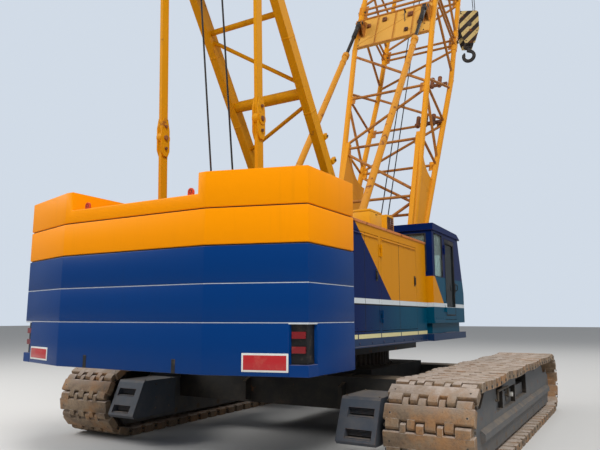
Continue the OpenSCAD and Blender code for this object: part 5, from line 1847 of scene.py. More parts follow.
    def inside(self) -> None:
        """Floor mat, lining, consoles with levers, pedals and a display."""
        shape = Shape("cab_inside").use(Look.RUBBER)
        left, right = self.x0 + self.thick + 0.01, self.x1 - self.thick - 0.01
        floor, rear = self.z0 + self.thick, self.y0 + self.thick
        mat = floor + 0.012
        shape.box((left, rear + 0.01, floor), (right, self.y1 - self.thick - 0.02, mat), 0.004)
        shape.use(Look.CABIN)
        shape.box((left, rear + 0.012, mat), (left + 0.03, self.y1 - 0.2, self.sill - 0.06), 0.01, 2)
        shape.box((left, rear + 0.002, mat), (right, rear + 0.03, self.sill + 0.02), 0.01, 2)
        shape.box((right - 0.022, rear + 0.03, mat), (right, self.door[0] - 0.06, self.sill - 0.06), 0.01, 2)
        shape.use(Look.CONSOLE)
        console = [(0.02, mat), (0.62, mat), (0.66, floor + 0.42), (0.6, floor + 0.5), (0.1, floor + 0.56),
                   (0.02, floor + 0.5)]
        for x in (left + 0.05, right - 0.18):
            shape.plate(console, Axis.X, x, x + 0.13, 0.012, 2)
            shape.use(Look.BLACK)
            for y in (0.44, 0.53):
                shape.rod((x + 0.065, y, floor + 0.48), (x + 0.065, y + 0.03, floor + 0.68), 0.009, 8)
                shape.lathe([(0.0, -0.03), (0.016, -0.024), (0.024, 0.0), (0.02, 0.03), (0.0, 0.038)],
                            Matrix.Translation((x + 0.065, y + 0.034, floor + 0.71)), 12)
            for key in range(4):
                low = x + 0.02 + 0.024 * key
                shape.box((low, 0.2, floor + 0.54), (low + 0.016, 0.23, floor + 0.557), 0.002)
            shape.use(Look.CONSOLE)
        display = [(1.3, floor + 0.66), (1.44, floor + 0.6), (1.56, floor + 0.62), (1.52, floor + 0.82),
                   (1.46, floor + 0.86)]
        shape.plate(display, Axis.X, left + 0.1, left + 0.36, 0.012, 2)
        shape.rod((left + 0.23, 1.5, floor), (left + 0.23, 1.5, floor + 0.66), 0.022, 12)
        shape.use(Look.BLACK)
        shape.box((left + 0.12, 1.32, floor + 0.7), (left + 0.34, 1.36, floor + 0.86), 0.008, 2,
                  Matrix.Rotation(-0.4, 4, "X"))
        tread = Matrix.Rotation(0.5, 4, "X")
        for x in (1.36, 1.54):
            shape.box((x - 0.05, 1.2, floor + 0.05), (x + 0.05, 1.4, floor + 0.066), 0.004, 1, tread)
            shape.rod((x, 1.38, mat), (x, 1.3, floor + 0.06), 0.012, 8)
        shape.finish(self.palette, Body.UPPER)

    def seat(self) -> None:
        """The operator's seat: a sprung base, two cushions and a head rest."""
        middle, floor = (self.x0 + self.x1) / 2, self.z0 + self.thick
        base = Shape("seat_base").use(Look.BLACK)
        base.box((middle - 0.2, 0.13, floor + 0.013), (middle + 0.2, 0.41, floor + 0.05), 0.01, 2)
        for step in range(6):
            inset = 0.012 * (step % 2)
            z = floor + 0.05 + step * 0.035
            base.box((middle - 0.17 + inset, 0.15 + inset, z),
                     (middle + 0.17 - inset, 0.39 - inset, z + 0.035), 0.01, 2)
        base.box((middle - 0.22, 0.04, floor + 0.26), (middle + 0.22, 0.48, floor + 0.3), 0.012, 2)
        for x in (middle - 0.12, middle + 0.12):
            base.rod((x, -0.04, floor + 0.28), (x, -0.03, floor + 0.5), 0.014, 8)
        base.finish(self.palette, Body.UPPER, "seat_cloth", ["operator_seat"])
        cushion(self.palette, "seat_cushion", (middle, 0.27, floor + 0.365), (0.25, 0.245, 0.06))
        cushion(self.palette, "seat_back", (middle, -0.005, floor + 0.66), (0.235, 0.05, 0.22))
        cushion(self.palette, "head_rest", (middle, -0.005, floor + 0.97), (0.13, 0.045, 0.075))

    def build(self) -> None:
        """Builds the cab's dressing."""
        self.rubbers()
        self.outside()
        self.door_parts()
        self.inside()
        self.seat()


@dataclass
class Gantry(Assembly):
    """Forks on the rear links, pins, lugs and rope guards of the A-frame gantry."""

    link_x: float = 0.84
    link_foot: Pair = (-4.08, 2.7)
    leg_x: float = 0.685
    leg_foot: Pair = (-0.66, 2.6)
    apex: Pair = (-4.26, 7.7)
    fold_z: float = 4.49

    @property
    def foot_lean(self) -> float:
        """How far the rear link leans for each metre up."""
        return -(self.apex[0] - self.link_foot[0]) / (self.apex[1] - self.link_foot[1])

    def on_link(self, z: float, off: float = 0.0) -> Pair:
        """A point on the rear link at a height, moved off its line."""
        share = (z - self.link_foot[1]) / (self.apex[1] - self.link_foot[1])
        return (self.link_foot[0] + share * (self.apex[0] - self.link_foot[0]) + off, z)

    def forks(self) -> None:
        """Fork plates, pins and bolts where each link folds, and a black strip of painted shade in the gap
        below.
        """
        shape = Shape("link_forks")
        spots = ((4.21, -0.045), (4.21, 0.045), (4.3, 0.085), (4.62, 0.085), (4.78, 0.05), (4.78, -0.05),
                 (4.62, -0.085), (4.3, -0.085))
        outline = [self.on_link(z, off) for z, off in spots]
        lean = Matrix.Rotation(math.atan2(self.foot_lean, 1.0), 4, "X")
        shade_gap_y = (self.on_link(3.1, -0.05)[0] + self.on_link(4.2, -0.05)[0]) / 2
        cap = [(0.0, 0.0), (0.06, 0.0), (0.064, 0.006), (0.05, 0.02), (0.0, 0.022)]
        for side in SIDES:
            for inner in (self.link_x - 0.05, self.link_x + 0.027):
                shape.use(Look.GANTRY).plate(outline, Axis.X, *across(side, inner, inner + 0.023), 0.004)
            shape.use(Look.RUSTY)
            for z, radius in ((self.fold_z, 0.036), (4.66, 0.022), (4.33, 0.022)):
                ends = ((side * (self.link_x + off), *self.on_link(z)) for off in (-0.075, 0.075))
                shape.rod(*ends, radius, 16, bevel=0.004)
            # Black strip down each link below the fork: painted shade in the gap between the link's two bars.
            middle = Vector((side * self.link_x, shade_gap_y, 3.65))
            shape.use(Look.BLACK).block(middle, (0.006, 0.003, 0.55), 0.0, 1, lean)
            washer_x = side * self.link_x + (0.045 if side > 0 else -0.062)
            shape.use(Look.GANTRY)
            shape.lathe([(0.0, 0), (0.075, 0), (0.08, 0.006), (0.08, 0.016), (0.0, 0.018)],
                        along_x((washer_x, *self.on_link(self.fold_z))), 24)
            cap_x = side * (self.link_x + (0.026 if side > 0 else 0.048))
            for place in (self.link_foot, self.apex):
                shape.use(Look.CAST).lathe(cap, along_x((cap_x, *place)), 20)
        shape.finish(self.palette, Body.UPPER)

    def legs(self) -> None:
        """Lugs with their pins, collars at both ends, bands and a yellow box on the legs."""
        shape = Shape("leg_fittings").use(Look.GANTRY)
        along = Vector((0, self.apex[0] - self.leg_foot[0], self.apex[1] - self.leg_foot[1]))
        reach, along = along.length, along.normalized()
        outward = Vector((0, along.z, -along.y))
        turn = Matrix.Rotation(math.atan2(along.z, along.y), 4, "X")
        for side in SIDES:
            for y, z, deep in ((-2.07, 4.83, 0.06), (-1.78, 4.49, 0.08)):
                middle = Vector((side * 0.74, y, z)) + outward * 0.02
                shape.block(middle, (0.03, 0.045, deep), 0.01, 2, turn)
                half = Vector((0.05, 0, 0))
                pin = middle + outward * 0.02
                shape.use(Look.CAST).rod(pin - half, pin + half, 0.016, 10).use(Look.GANTRY)
            for place in (self.leg_foot, self.apex):
                shape.lathe([(0.045, 0.0), (0.11, 0.0), (0.115, 0.006), (0.115, 0.02), (0.045, 0.024)],
                            along_x((side * self.leg_x + (0.062 if side > 0 else -0.086), *place)), 24)
            for share in (0.09, 0.3, 0.5, 0.69, 0.88):
                middle = Vector((side * self.leg_x, *self.leg_foot)) + along * reach * share
                shape.block(middle, (0.069, 0.012, 0.109), 0.004, 1, turn)
        foot = Vector((self.leg_x, *self.leg_foot)) + along * 0.55 - outward * 0.02
        shape.use(Look.BOX_YELLOW).block(foot, (0.09, 0.16, 0.14), 0.012, 2, turn)
        shape.finish(self.palette, Body.UPPER)

    def guards(self) -> None:
        """Guard plates, nuts and cross bars round the apex sheaves."""
        shape = Shape("apex_guards").use(Look.GANTRY)
        y, z = self.apex
        outline = [(y - 0.36, z - 0.09), (y + 0.36, z - 0.09), (y + 0.4, z + 0.05), (y + 0.3, z + 0.32),
                   (y, z + 0.42), (y - 0.3, z + 0.32), (y - 0.4, z + 0.05)]
        nut = [(0.0, 0), (0.085, 0), (0.085, 0.03), (0.07, 0.045), (0.0, 0.045)]
        for side in SIDES:
            shape.plate(outline, Axis.X, *across(side, 0.4, 0.42), 0.004)
            shape.use(Look.CAST).lathe(nut, along_x((1.0 if side > 0 else -1.045, y, z)), 6).use(Look.GANTRY)
        for dy, dz in ((-0.34, 0.04), (0.34, 0.04), (0.0, 0.37), (-0.26, 0.27), (0.26, 0.27)):
            shape.rod((-0.41, y + dy, z + dz), (0.41, y + dy, z + dz), 0.014, 10)
        shape.finish(self.palette, Body.UPPER)

    def build(self) -> None:
        """Builds the gantry's fittings."""
        self.forks()
        self.legs()
        self.guards()


@dataclass
class Winches(Assembly):
    """Both rope drums with wound rope, and the winch drives beside them."""

    main: Pair = (-1.35, 2.18)
    hoist: Pair = (-3.25, 2.14)
    rope_r: float = 0.014
    shaft_r: float = 0.056
    flange_t: float = 0.03
    frame_x: float = 0.938

    def drum(self, body: Body, name: str, node: str, place: Pair, half: float,
             barrel: float, flange: float) -> None:
        """One flanged drum with a layer of rope wound on it.

        Args:
            body: The body that turns.
            name: Name of the piece.
            node: CAD node that it stands for.
            place: The shaft's (y, z).
            half: Half its width.
            barrel: Radius of the barrel.
            flange: Radius of the flanges.
        """
        shape = Shape(name).use(Look.CAST)
        edge = self.flange_t
        end = [(self.shaft_r, half), (flange - 0.06, half), (flange, half - 0.006), (flange, half - edge),
               (barrel + 0.02, half - edge), (barrel, half - edge - 0.02)]
        shape.lathe([(radius, -x) for radius, x in end] + end[::-1], along_x((0, *place)), 48)
        for side in SIDES:
            for step in range(8):
                angle = step * math.pi / 4 + 0.2
                y, z = place[0] + 0.7 * barrel * math.cos(angle), place[1] + 0.7 * barrel * math.sin(angle)
                shape.bolts([(side * (half - 0.001), y, z)], Axis.X, 0.016, 0.014, side)
        shape.finish(self.palette, body, "bare_steel", [node])
        wound = Shape(name + "_rope").use(Look.ROPE)
        pitch, steps, radius = self.rope_r * 2.04, 20, barrel + self.rope_r
        turns = int((2 * half - 2 * edge - 0.09) / pitch)
        path = []
        for step in range(turns * steps + 1):
            angle = step / steps * 2 * math.pi
            x = -half + edge + 0.045 + step / steps * pitch
            path.append((x, place[0] + radius * math.cos(angle), place[1] + radius * math.sin(angle)))
        wound.pipe(path, self.rope_r, 6)
        wound.finish(self.palette, body)

    def drives(self) -> None:
        """Gearbox housings and brake bands on the frame's side plates, and hoses to them."""
        shape = Shape("winch_drives")
        for place, reach in ((self.main, 0.3), (self.hoist, 0.26)):
            housing = [(0.062, 0.0), (reach, 0.0), (reach, 0.05), (reach - 0.05, 0.07), (0.17, 0.13),
                       (0.17, 0.17), (0.062, 0.2)]
            radius, angles = reach - 0.03, [bolt * math.pi / 5 for bolt in range(10)]
            circle = [(place[0] + radius * math.cos(angle), place[1] + radius * math.sin(angle))
                      for angle in angles]
            for side in SIDES:
                base = side * self.frame_x
                turn = Matrix.Rotation(-side * math.pi / 2, 4, "Y")
                shape.use(Look.CAST).lathe(housing, Matrix.Translation((base, *place)) @ turn, 32)
                shape.bolts([(base - side * 0.05, *spot) for spot in circle], Axis.X, 0.013, 0.012, -side)
        shape.finish(self.palette, Body.UPPER)
        hoses = Shape("winch_hoses").use(Look.RUBBER)
        for side in SIDES:
            for number in range(3):
                x = side * (0.62 - 0.05 * number)
                path = [(x, -3.95, 1.66), (x, -3.0, 1.65 + 0.01 * number), (x + side * 0.02, -2.2, 1.66),
                        (x, -0.9, 1.65), (x - side * 0.15, -0.3, 1.66), (x - side * 0.35, 0.2, 1.65)]
                hoses.pipe(smooth_path(path, 5), 0.02)
        hoses.finish(self.palette, Body.UPPER)

    def build(self) -> None:
        """Builds the drums, their rope and their drives."""
        self.drum(Body.MAIN_DRUM, "main_hoist_drum", "main_drum", self.main, 0.52, 0.27, 0.43)
        self.drum(Body.HOIST_DRUM, "boom_hoist_winch_drum", "boom_hoist_drum", self.hoist,
                  0.48, 0.22, 0.38)
        self.drives()


@dataclass
class BoomGeometry:
    """The boom's frame: a local point becomes a point of the shared frame."""

    foot: Pair = (1.26, 1.99)
    angle: float = 67.5
    length: float = 24.4
    half_depth: float = 0.89
    half_width: float = 1.05
    foot_depth: float = 0.15
    foot_width: float = 0.915
    taper: Pair = (0.6, 7.15)

    @property
    def matrix(self) -> Matrix:
        """Place of the boom's own axes, z along it and y to its front."""
        return Matrix.Translation((0, *self.foot)) @ Matrix.Rotation(math.radians(self.angle - 90), 4, "X")

    def at(self, x: float, y: float, z: float) -> Vector:
        """A local point in the shared frame."""
        return self.matrix @ Vector((x, y, z))

    def share(self, z: float) -> float:
        """How far the foot's taper has opened at a height."""
        return min(1.0, max(0.0, (z - self.taper[0]) / (self.taper[1] - self.taper[0])))

    def depth(self, z: float) -> float:
        """Half the depth between chords at a height."""
        return self.foot_depth + (self.half_depth - self.foot_depth) * self.share(z)

    def width(self, z: float) -> float:
        """Half the width between chords at a height."""
        return self.foot_width + (self.half_width - self.foot_width) * self.share(z)


@dataclass
class Boom(Assembly):
    """Collars, pins, gussets, rope guides and the cross plate's fittings on the boom."""

    frame: BoomGeometry = field(default_factory=BoomGeometry)
    joints: tuple[float, ...] = (8.6, 17.75)
    plate: Pair = (7.175, 8.3)
    eye_y: float = -1.175
    eye_z: float = 7.83
    backstop_x: float = 0.9

    def add(self, shape: Shape, low: Point, high: Point, bevel: float = 0.006, segments: int = 1,
            turn: Matrix | None = None) -> None:
        """Adds a block given in the boom's own axes.

        Args:
            shape: Shape that gets the block.
            low: Lowest corner.
            high: Highest corner.
            bevel: Size of the rounded edges.
            segments: Segments of each rounded edge.
            turn: Turn about the block's middle.
        """
        middle = (Vector(low) + Vector(high)) / 2
        half = (Vector(high) - Vector(low)) / 2
        place = self.frame.at(*middle)
        spin = Matrix.Rotation(math.radians(self.frame.angle - 90), 4, "X") @ (turn or Matrix())
        shape.box(place - half, place + half, bevel, segments, spin)

    def rod(self, shape: Shape, start: Point, end: Point, radius: float, sides: int = 12) -> None:
        """Adds a rod given in the boom's own axes."""
        shape.rod(self.frame.at(*start), self.frame.at(*end), radius, sides)

    def connections(self) -> None:
        """Pinned lugs where the boom's sections meet."""
        shape = Shape("section_joints")
        for z, sx, sy in itertools.product(self.joints, SIDES, SIDES):
            x, y = sx * self.frame.half_width, sy * self.frame.half_depth
            shape.use(Look.LATTICE)
            for low, high in ((-0.34, -0.14), (0.14, 0.34)):
                self.rod(shape, (x, y, z + low), (x, y, z + high), 0.082, 16)
            for dx in (-0.052, 0.0, 0.052):
                self.add(shape, (x + dx - 0.016, y - 0.088, z - 0.17), (x + dx + 0.016, y + 0.088, z + 0.17),
                         0.012, 2)
            shape.use(Look.BRIGHT)
            self.rod(shape, (x - 0.11, y, z), (x + 0.11, y, z), 0.036, 16)
            shape.use(Look.CAST)
            self.rod(shape, (x + sx * 0.085, y, z), (x + sx * 0.1, y, z), 0.052, 12)
        shape.finish(self.palette, Body.BOOM)

    def gussets(self) -> None:
        """Small weld plates where battens meet the chords."""
        shape = Shape("lattice_gussets").use(Look.LATTICE)
        nodes = [2.6125, 4.075, 5.5375, 8.49, 8.71, 17.64, 17.86,
                 *(8.8 + 8.75 / 6 * step for step in range(1, 6)), 19.65, 21.0]
        for z, sx, sy in itertools.product(nodes, SIDES, SIDES):
            x, y = sx * (self.frame.width(z) - 0.06), sy * self.frame.depth(z)
            self.add(shape, (x - 0.11, y - 0.008, z - 0.13), (x + 0.11, y + 0.008, z + 0.13), 0.004)
        shape.finish(self.palette, Body.BOOM)

    def cross_plate(self) -> None:
        """Stiffeners, brackets, bolts and a hanging sheave on the rear cross plate."""
        shape = Shape("cross_plate_fittings").use(Look.LATTICE)
        back = -self.frame.half_depth - 0.015
        low, high = self.plate
        for z in (low + 0.03, high - 0.03):
            self.add(shape, (-0.98, back - 0.035, z - 0.02), (0.98, back, z + 0.02), 0.005)
        for x in (-0.5, 0.0, 0.5):
            self.add(shape, (x - 0.012, back - 0.03, low + 0.05), (x + 0.012, back, high - 0.05), 0.004)
        shape.use(Look.RUSTY)
        brackets = ((-0.74, 7.95, 0.05), (-0.3, 8.05, 0.06), (0.42, 8.0, 0.07), (0.36, 7.45, 0.05),
                    (0.68, 7.6, 0.04))
        for x, z, half in brackets:
            self.add(shape, (x - half, back - 0.06, z - half), (x + half, back, z + half), 0.012, 2)
            self.rod(shape, (x, back - 0.085, z), (x, back, z), half * 0.45, 10)
        shape.use(Look.DARK)
        self.rod(shape, (0.28, back - 0.03, 8.1), (0.28, back - 0.14, 8.1), 0.02, 10)
        top = self.frame.at(0.28, back - 0.12, 8.1)
        shape.rod(top, top + Vector((0, 0, -0.55)), 0.01, 8)
        shape.lathe([(0.0, -0.1), (0.03, -0.09), (0.045, -0.02), (0.045, 0.05), (0.02, 0.1), (0.0, 0.11)],
                    Matrix.Translation(top + Vector((0, 0, -0.62))), 14)
        ends = (-self.backstop_x, self.backstop_x)
        for x, z in itertools.product(ends, (low + 0.12, low + 0.34, high - 0.2, high - 0.42)):
            self.rod(shape, (x - 0.07, back, z), (x - 0.07, back - 0.014, z), 0.016, 6)
        eye = (self.eye_y, self.eye_z)
        for x in ends:
            self.rod(shape, (x - 0.088, *eye), (x + 0.088, *eye), 0.03, 16)
            for dx in (-0.088, 0.088):
                self.rod(shape, (x + dx - 0.008, *eye), (x + dx + 0.008, *eye), 0.042, 12)
        shape.finish(self.palette, Body.BOOM)

    def guides(self) -> None:
        """Rope guide rollers inside the front face, foot bosses and ribs, foot sheaves and their shaft."""
        shape = Shape("rope_guides")
        for z in (5.5, 6.95):
            reach = self.frame.depth(z) - 0.1
            shape.use(Look.RUSTY)
            self.add(shape, (0.3, reach - 0.05, z - 0.04), (1.0, reach + 0.02, z + 0.04), 0.008)
            for x in (0.42, 0.62, 0.82):
                self.rod(shape, (x, reach - 0.12, z - 0.16), (x, reach - 0.12, z + 0.16), 0.055, 16)
                self.rod(shape, (x, reach - 0.12, z - 0.19), (x, reach - 0.12, z + 0.19), 0.02, 8)
        shape.use(Look.LATTICE)
        for side in SIDES:
            self.rod(shape, (side * 0.83, 0, 0), (side * 0.97, 0, 0), 0.1, 24)
            for z in (0.5, 1.2, 2.2, 3.2):
                self.add(shape, (side * 0.9 - 0.053, -self.frame.depth(z) + 0.02, z - 0.01),
                         (side * 0.9 + 0.053, self.frame.depth(z) - 0.02, z + 0.01), 0.003)
        shape.use(Look.CAST)
        self.rod(shape, (-0.2, 0, 0), (0.2, 0, 0), 0.045, 16)
        sheave = [(0.045, -0.035), (0.15, -0.035), (0.15, -0.02), (0.12, 0.0), (0.15, 0.02), (0.15, 0.035),
                  (0.045, 0.035)]
        for x in (-0.09, 0.09):
            shape.lathe(sheave, along_x((x, *self.frame.foot)), 28)
        self.rod(shape, (-0.84, 0, 0), (-0.2, 0, 0), 0.03, 12)
        self.rod(shape, (0.2, 0, 0), (0.84, 0, 0), 0.03, 12)
        shape.finish(self.palette, Body.BOOM)

    def head(self) -> None:
        """Shaft nuts, rope guards and stay pins at the boom's head."""
        shape = Shape("head_fittings").use(Look.LATTICE)
        z = self.frame.length
        for side in SIDES:
            shape.use(Look.CAST)
            self.rod(shape, (side * 0.4, 0.78, z), (side * 0.46, 0.78, z), 0.09, 6)
            self.rod(shape, (side * 0.4, -0.56, z - 0.02), (side * 0.56, -0.56, z - 0.02), 0.055, 12)
            shape.use(Look.LATTICE)
            for y in (0.2, 0.5):
                self.add(shape, (side * 0.38 - 0.024, y - 0.015, z - 0.24),
                         (side * 0.38 + 0.024, y + 0.015, z + 0.1), 0.004)
        for y, dz in ((1.14, 0.06), (0.95, 0.31), (0.62, 0.34)):
            self.rod(shape, (-0.36, y, z + dz), (0.36, y, z + dz), 0.014, 10)
            for side in SIDES:
                self.rod(shape, (side * 0.36, 0.8, z + 0.02), (side * 0.36, y, z + dz), 0.012, 8)
        shape.finish(self.palette, Body.BOOM)

    def backstops(self) -> None:
        """Collars, end caps and foot forks of the backstops."""
        foot = Vector((0, -1.51, 2.95))
        along = (self.frame.at(0, self.eye_y, self.eye_z) - foot).normalized()
        tubes, rods = Shape("backstop_collars"), Shape("backstop_rod_ends")
        for side in SIDES:
            base = foot + Vector((side * self.backstop_x, 0, 0))
            tubes.use(Look.BACKSTOP)
            for start, end, radius in ((6.55, 6.69, 0.088), (6.3, 6.34, 0.078), (0.15, 0.42, 0.075)):
                tubes.rod(base + along * start, base + along * end, radius, 24, bevel=0.006)
            tubes.use(Look.BOX_YELLOW).rod(base + along * 0.1, base + along * 0.62, 0.0745, 24, bevel=0.004)
            tubes.use(Look.CAST)
            for x in (base.x - 0.062, base.x + 0.056):
                tubes.rod((x, base.y, base.z), (x + 0.006, base.y, base.z), 0.058, 20)
            rods.use(Look.DARK).rod(base + along * 7.5, base + along * 8.02, 0.06, 20, bevel=0.006)
            rods.rod(base + along * 7.98, base + along * 8.1, 0.072, 20, bevel=0.006)
        tubes.finish(self.palette, Body.BACKSTOP_TUBES)
        rods.finish(self.palette, Body.BACKSTOP_RODS)

    def build(self) -> None:
        """Builds the boom's fittings."""
        self.connections()
        self.gussets()
        self.cross_plate()
        self.guides()
        self.head()
        self.backstops()


@dataclass
class Ropes(Assembly):
    """Wire ropes: hoist lines along the boom, luffing reeving and the falls."""

    frame: BoomGeometry = field(default_factory=BoomGeometry)
    rope_r: float = 0.014
    apex: Pair = (-4.26, 7.7)
    apex_r: float = 0.275
    head_z: float = 24.234
    fall_y: float = 11.6174
    block_z: float = 13.134
    falls_x: tuple[float, ...] = (-0.21, -0.07, 0.07, 0.21)
    block_r: float = 0.2993
    turn: float = -65.0
    parts: int = 10
    part_pitch: float = 0.066
    foot_sheave_r: float = 0.134

    def falls(self) -> None:
        """The four falls between the head and the turned hook block."""
        shape = Shape("rope_falls").use(Look.ROPE)
        sine, cosine = math.sin(math.radians(self.turn)), math.cos(math.radians(self.turn))
        for number, x in enumerate(self.falls_x):
            off = self.block_r if number % 2 == 0 else -self.block_r
            low = (x * cosine - off * sine, self.fall_y + x * sine + off * cosine)
            shape.pipe([(x, self.fall_y, self.head_z), (x, self.fall_y, self.head_z - 0.7),
                        (*low, self.block_z + 0.8), (*low, self.block_z)], self.rope_r, 10)
        shape.finish(self.palette, Body.FALLS, "rope_steel", ["hoist_falls"])

    def luffing(self) -> None:
        """Reeving from the apex sheaves to the stays' spreader, and the ropes down to the drum."""
        shape = Shape("luffing_reeving").use(Look.ROPE)
        apex = Vector((0, *self.apex))
        stay = self.frame.at(0, -0.56, self.frame.length - 0.02)
        way = (apex - stay).normalized()
        spread = stay + way * ((apex - stay).length - 2.6)
        side = Vector((0, way.z, -way.y))
        for number in range(self.parts):
            off = Vector(((number + 0.5 - self.parts / 2) * self.part_pitch, 0, 0))
            sign = 1 if number % 2 == 0 else -1
            near = apex + side * (sign * self.apex_r) + off
            shape.pipe([near, spread + side * (sign * 0.1) + off - way * 0.02], self.rope_r, 6)
        reeving = shape.finish(self.palette, None)
        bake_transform(reeving)
        tails = Shape("luffing_rope_tails").use(Look.ROPE)
        for low_x, x in ((-0.33, -0.44), (0.065, -0.05)):
            tails.pipe([(low_x, -3.42, 2.2), (x, self.apex[0] + self.apex_r, self.apex[1])], self.rope_r, 8)
        tails.finish(self.palette, Body.UPPER)
        block = Shape("spreader_sheaves").use(Look.CAST)
        sheave = [(0.072, -0.03), (0.14, -0.03), (0.14, -0.02), (0.115, 0.0), (0.14, 0.02), (0.14, 0.03),
                  (0.072, 0.03)]
        place = (spread.y, spread.z)
        for number in range(5):
            block.lathe(sheave, along_x((-0.264 + number * 0.132, *place)), 24)
        for x in (-0.36, 0.36):
            block.rod((x - 0.02, *place), (x + 0.02, *place), 0.16, 24, bevel=0.006)
        for x in (-0.48, 0.48):
            block.rod((x - 0.045, *place), (x + 0.045, *place), 0.1, 20, bevel=0.006)
        block.finish(self.palette, Body.BOOM)

    def hoist(self) -> None:
        """Hoist lines from the main drum to the foot sheaves and up inside the boom."""
        lower = Shape("hoist_lines_low").use(Look.ROPE)
        upper = Shape("hoist_lines_high").use(Look.ROPE)
        foot_y, foot_z = self.frame.foot
        radius = self.foot_sheave_r
        angles = [math.radians(angle) for angle in (-22, 0, 30, 60, 89)]
        for x in (-0.09, 0.09):
            lower.pipe([(x, -1.35, 2.18 + 0.284), (x, foot_y, foot_z + radius)], self.rope_r, 8)
            bend = [self.frame.at(x, radius * math.sin(angle), radius * math.cos(angle)) for angle in angles]
            upper.pipe([*bend, self.frame.at(x * 0.8, 0.47, self.frame.length)], self.rope_r, 8)
        lower.finish(self.palette, Body.UPPER)
        upper.finish(self.palette, Body.BOOM)

    def build(self) -> None:
        """Builds every rope."""
        self.falls()
        self.luffing()
        self.hoist()


@dataclass
class HookBlock(Assembly):
    """The striped hook block, its sheaves and the hook's nut and latch."""

    middle: Point = (0.0, 11.6174, 13.134)
    turn: float = -65.0
    cheeks: Pair = (0.29, 0.34)
    falls_x: tuple[float, ...] = (-0.21, -0.07, 0.07, 0.21)
    bowl_z: float = 11.974

    def build(self) -> None:
        """Builds the block in its own axes, then turns it into place."""
        block = Shape("block")
        outline = [(-0.37, -0.2), (-0.19, -0.76), (0.19, -0.76), (0.37, -0.2), (0.37, 0.5), (0.3, 0.56),
                   (-0.3, 0.56), (-0.37, 0.5)]
        nut = [(0.0, 0.0), (0.09, 0.0), (0.095, 0.006), (0.09, 0.03), (0.05, 0.034), (0.0, 0.034)]
        tie_bars = ((-0.3, 0.45), (0.3, 0.45), (-0.28, -0.28), (0.28, -0.28))
        inner, outer = self.cheeks
        for side in SIDES:
            low, high = across(side, inner, outer)
            block.use(Look.CHEEK).plate(outline, Axis.X, low, high, 0.006, 2)
            block.use(Look.CAST).lathe(nut, along_x((high if side > 0 else low - 0.034, 0, 0)), 8)
            spots = [(side * outer, y, z) for y, z in (*tie_bars, (-0.15, -0.68), (0.15, -0.68))]
            block.bolts(spots, Axis.X, 0.022, 0.02, side)
        block.use(Look.BLOCK)
        block.rod((-inner, 0, 0), (inner, 0, 0), 0.058, 20)
        for y, z in tie_bars:
            block.rod((-inner, y, z), (inner, y, z), 0.02, 10)
        block.use(Look.CAST)
        half = [(0.056, 0.03), (0.11, 0.03), (0.11, 0.012), (0.27, 0.012), (0.295, 0.03), (0.34, 0.03),
                (0.29, 0.014)]
        sheave = [(radius, -x) for radius, x in half] + half[::-1]
        for x in self.falls_x:
            block.lathe(sheave, along_x((x, 0, 0)), 40)
        block.use(Look.BLOCK).box((-0.293, -0.13, -0.73), (0.293, 0.13, -0.56), 0.012, 2)
        place = Matrix.Translation(self.middle) @ Matrix.Rotation(math.radians(self.turn), 4, "Z")
        whole = Shape("hook_block_piece").copy(block, [place])
        whole.finish(self.palette, Body.FALLS, "block_paint", ["hook_block"])
        ties = Shape("hook_fittings").use(Look.CAST)
        x, y, z = self.middle
        ties.lathe([(0.0, 0.0), (0.1, 0.0), (0.105, 0.01), (0.105, 0.05), (0.09, 0.06), (0.0, 0.06)],
                   Matrix.Translation((x, y, z - 0.825)), 20)
        ties.use(Look.BRIGHT)
        ties.rod((x, y - 0.13, self.bowl_z + 0.12), (x, y - 0.01, self.bowl_z + 0.19), 0.012, 8)
        ties.finish(self.palette, Body.HOOK)


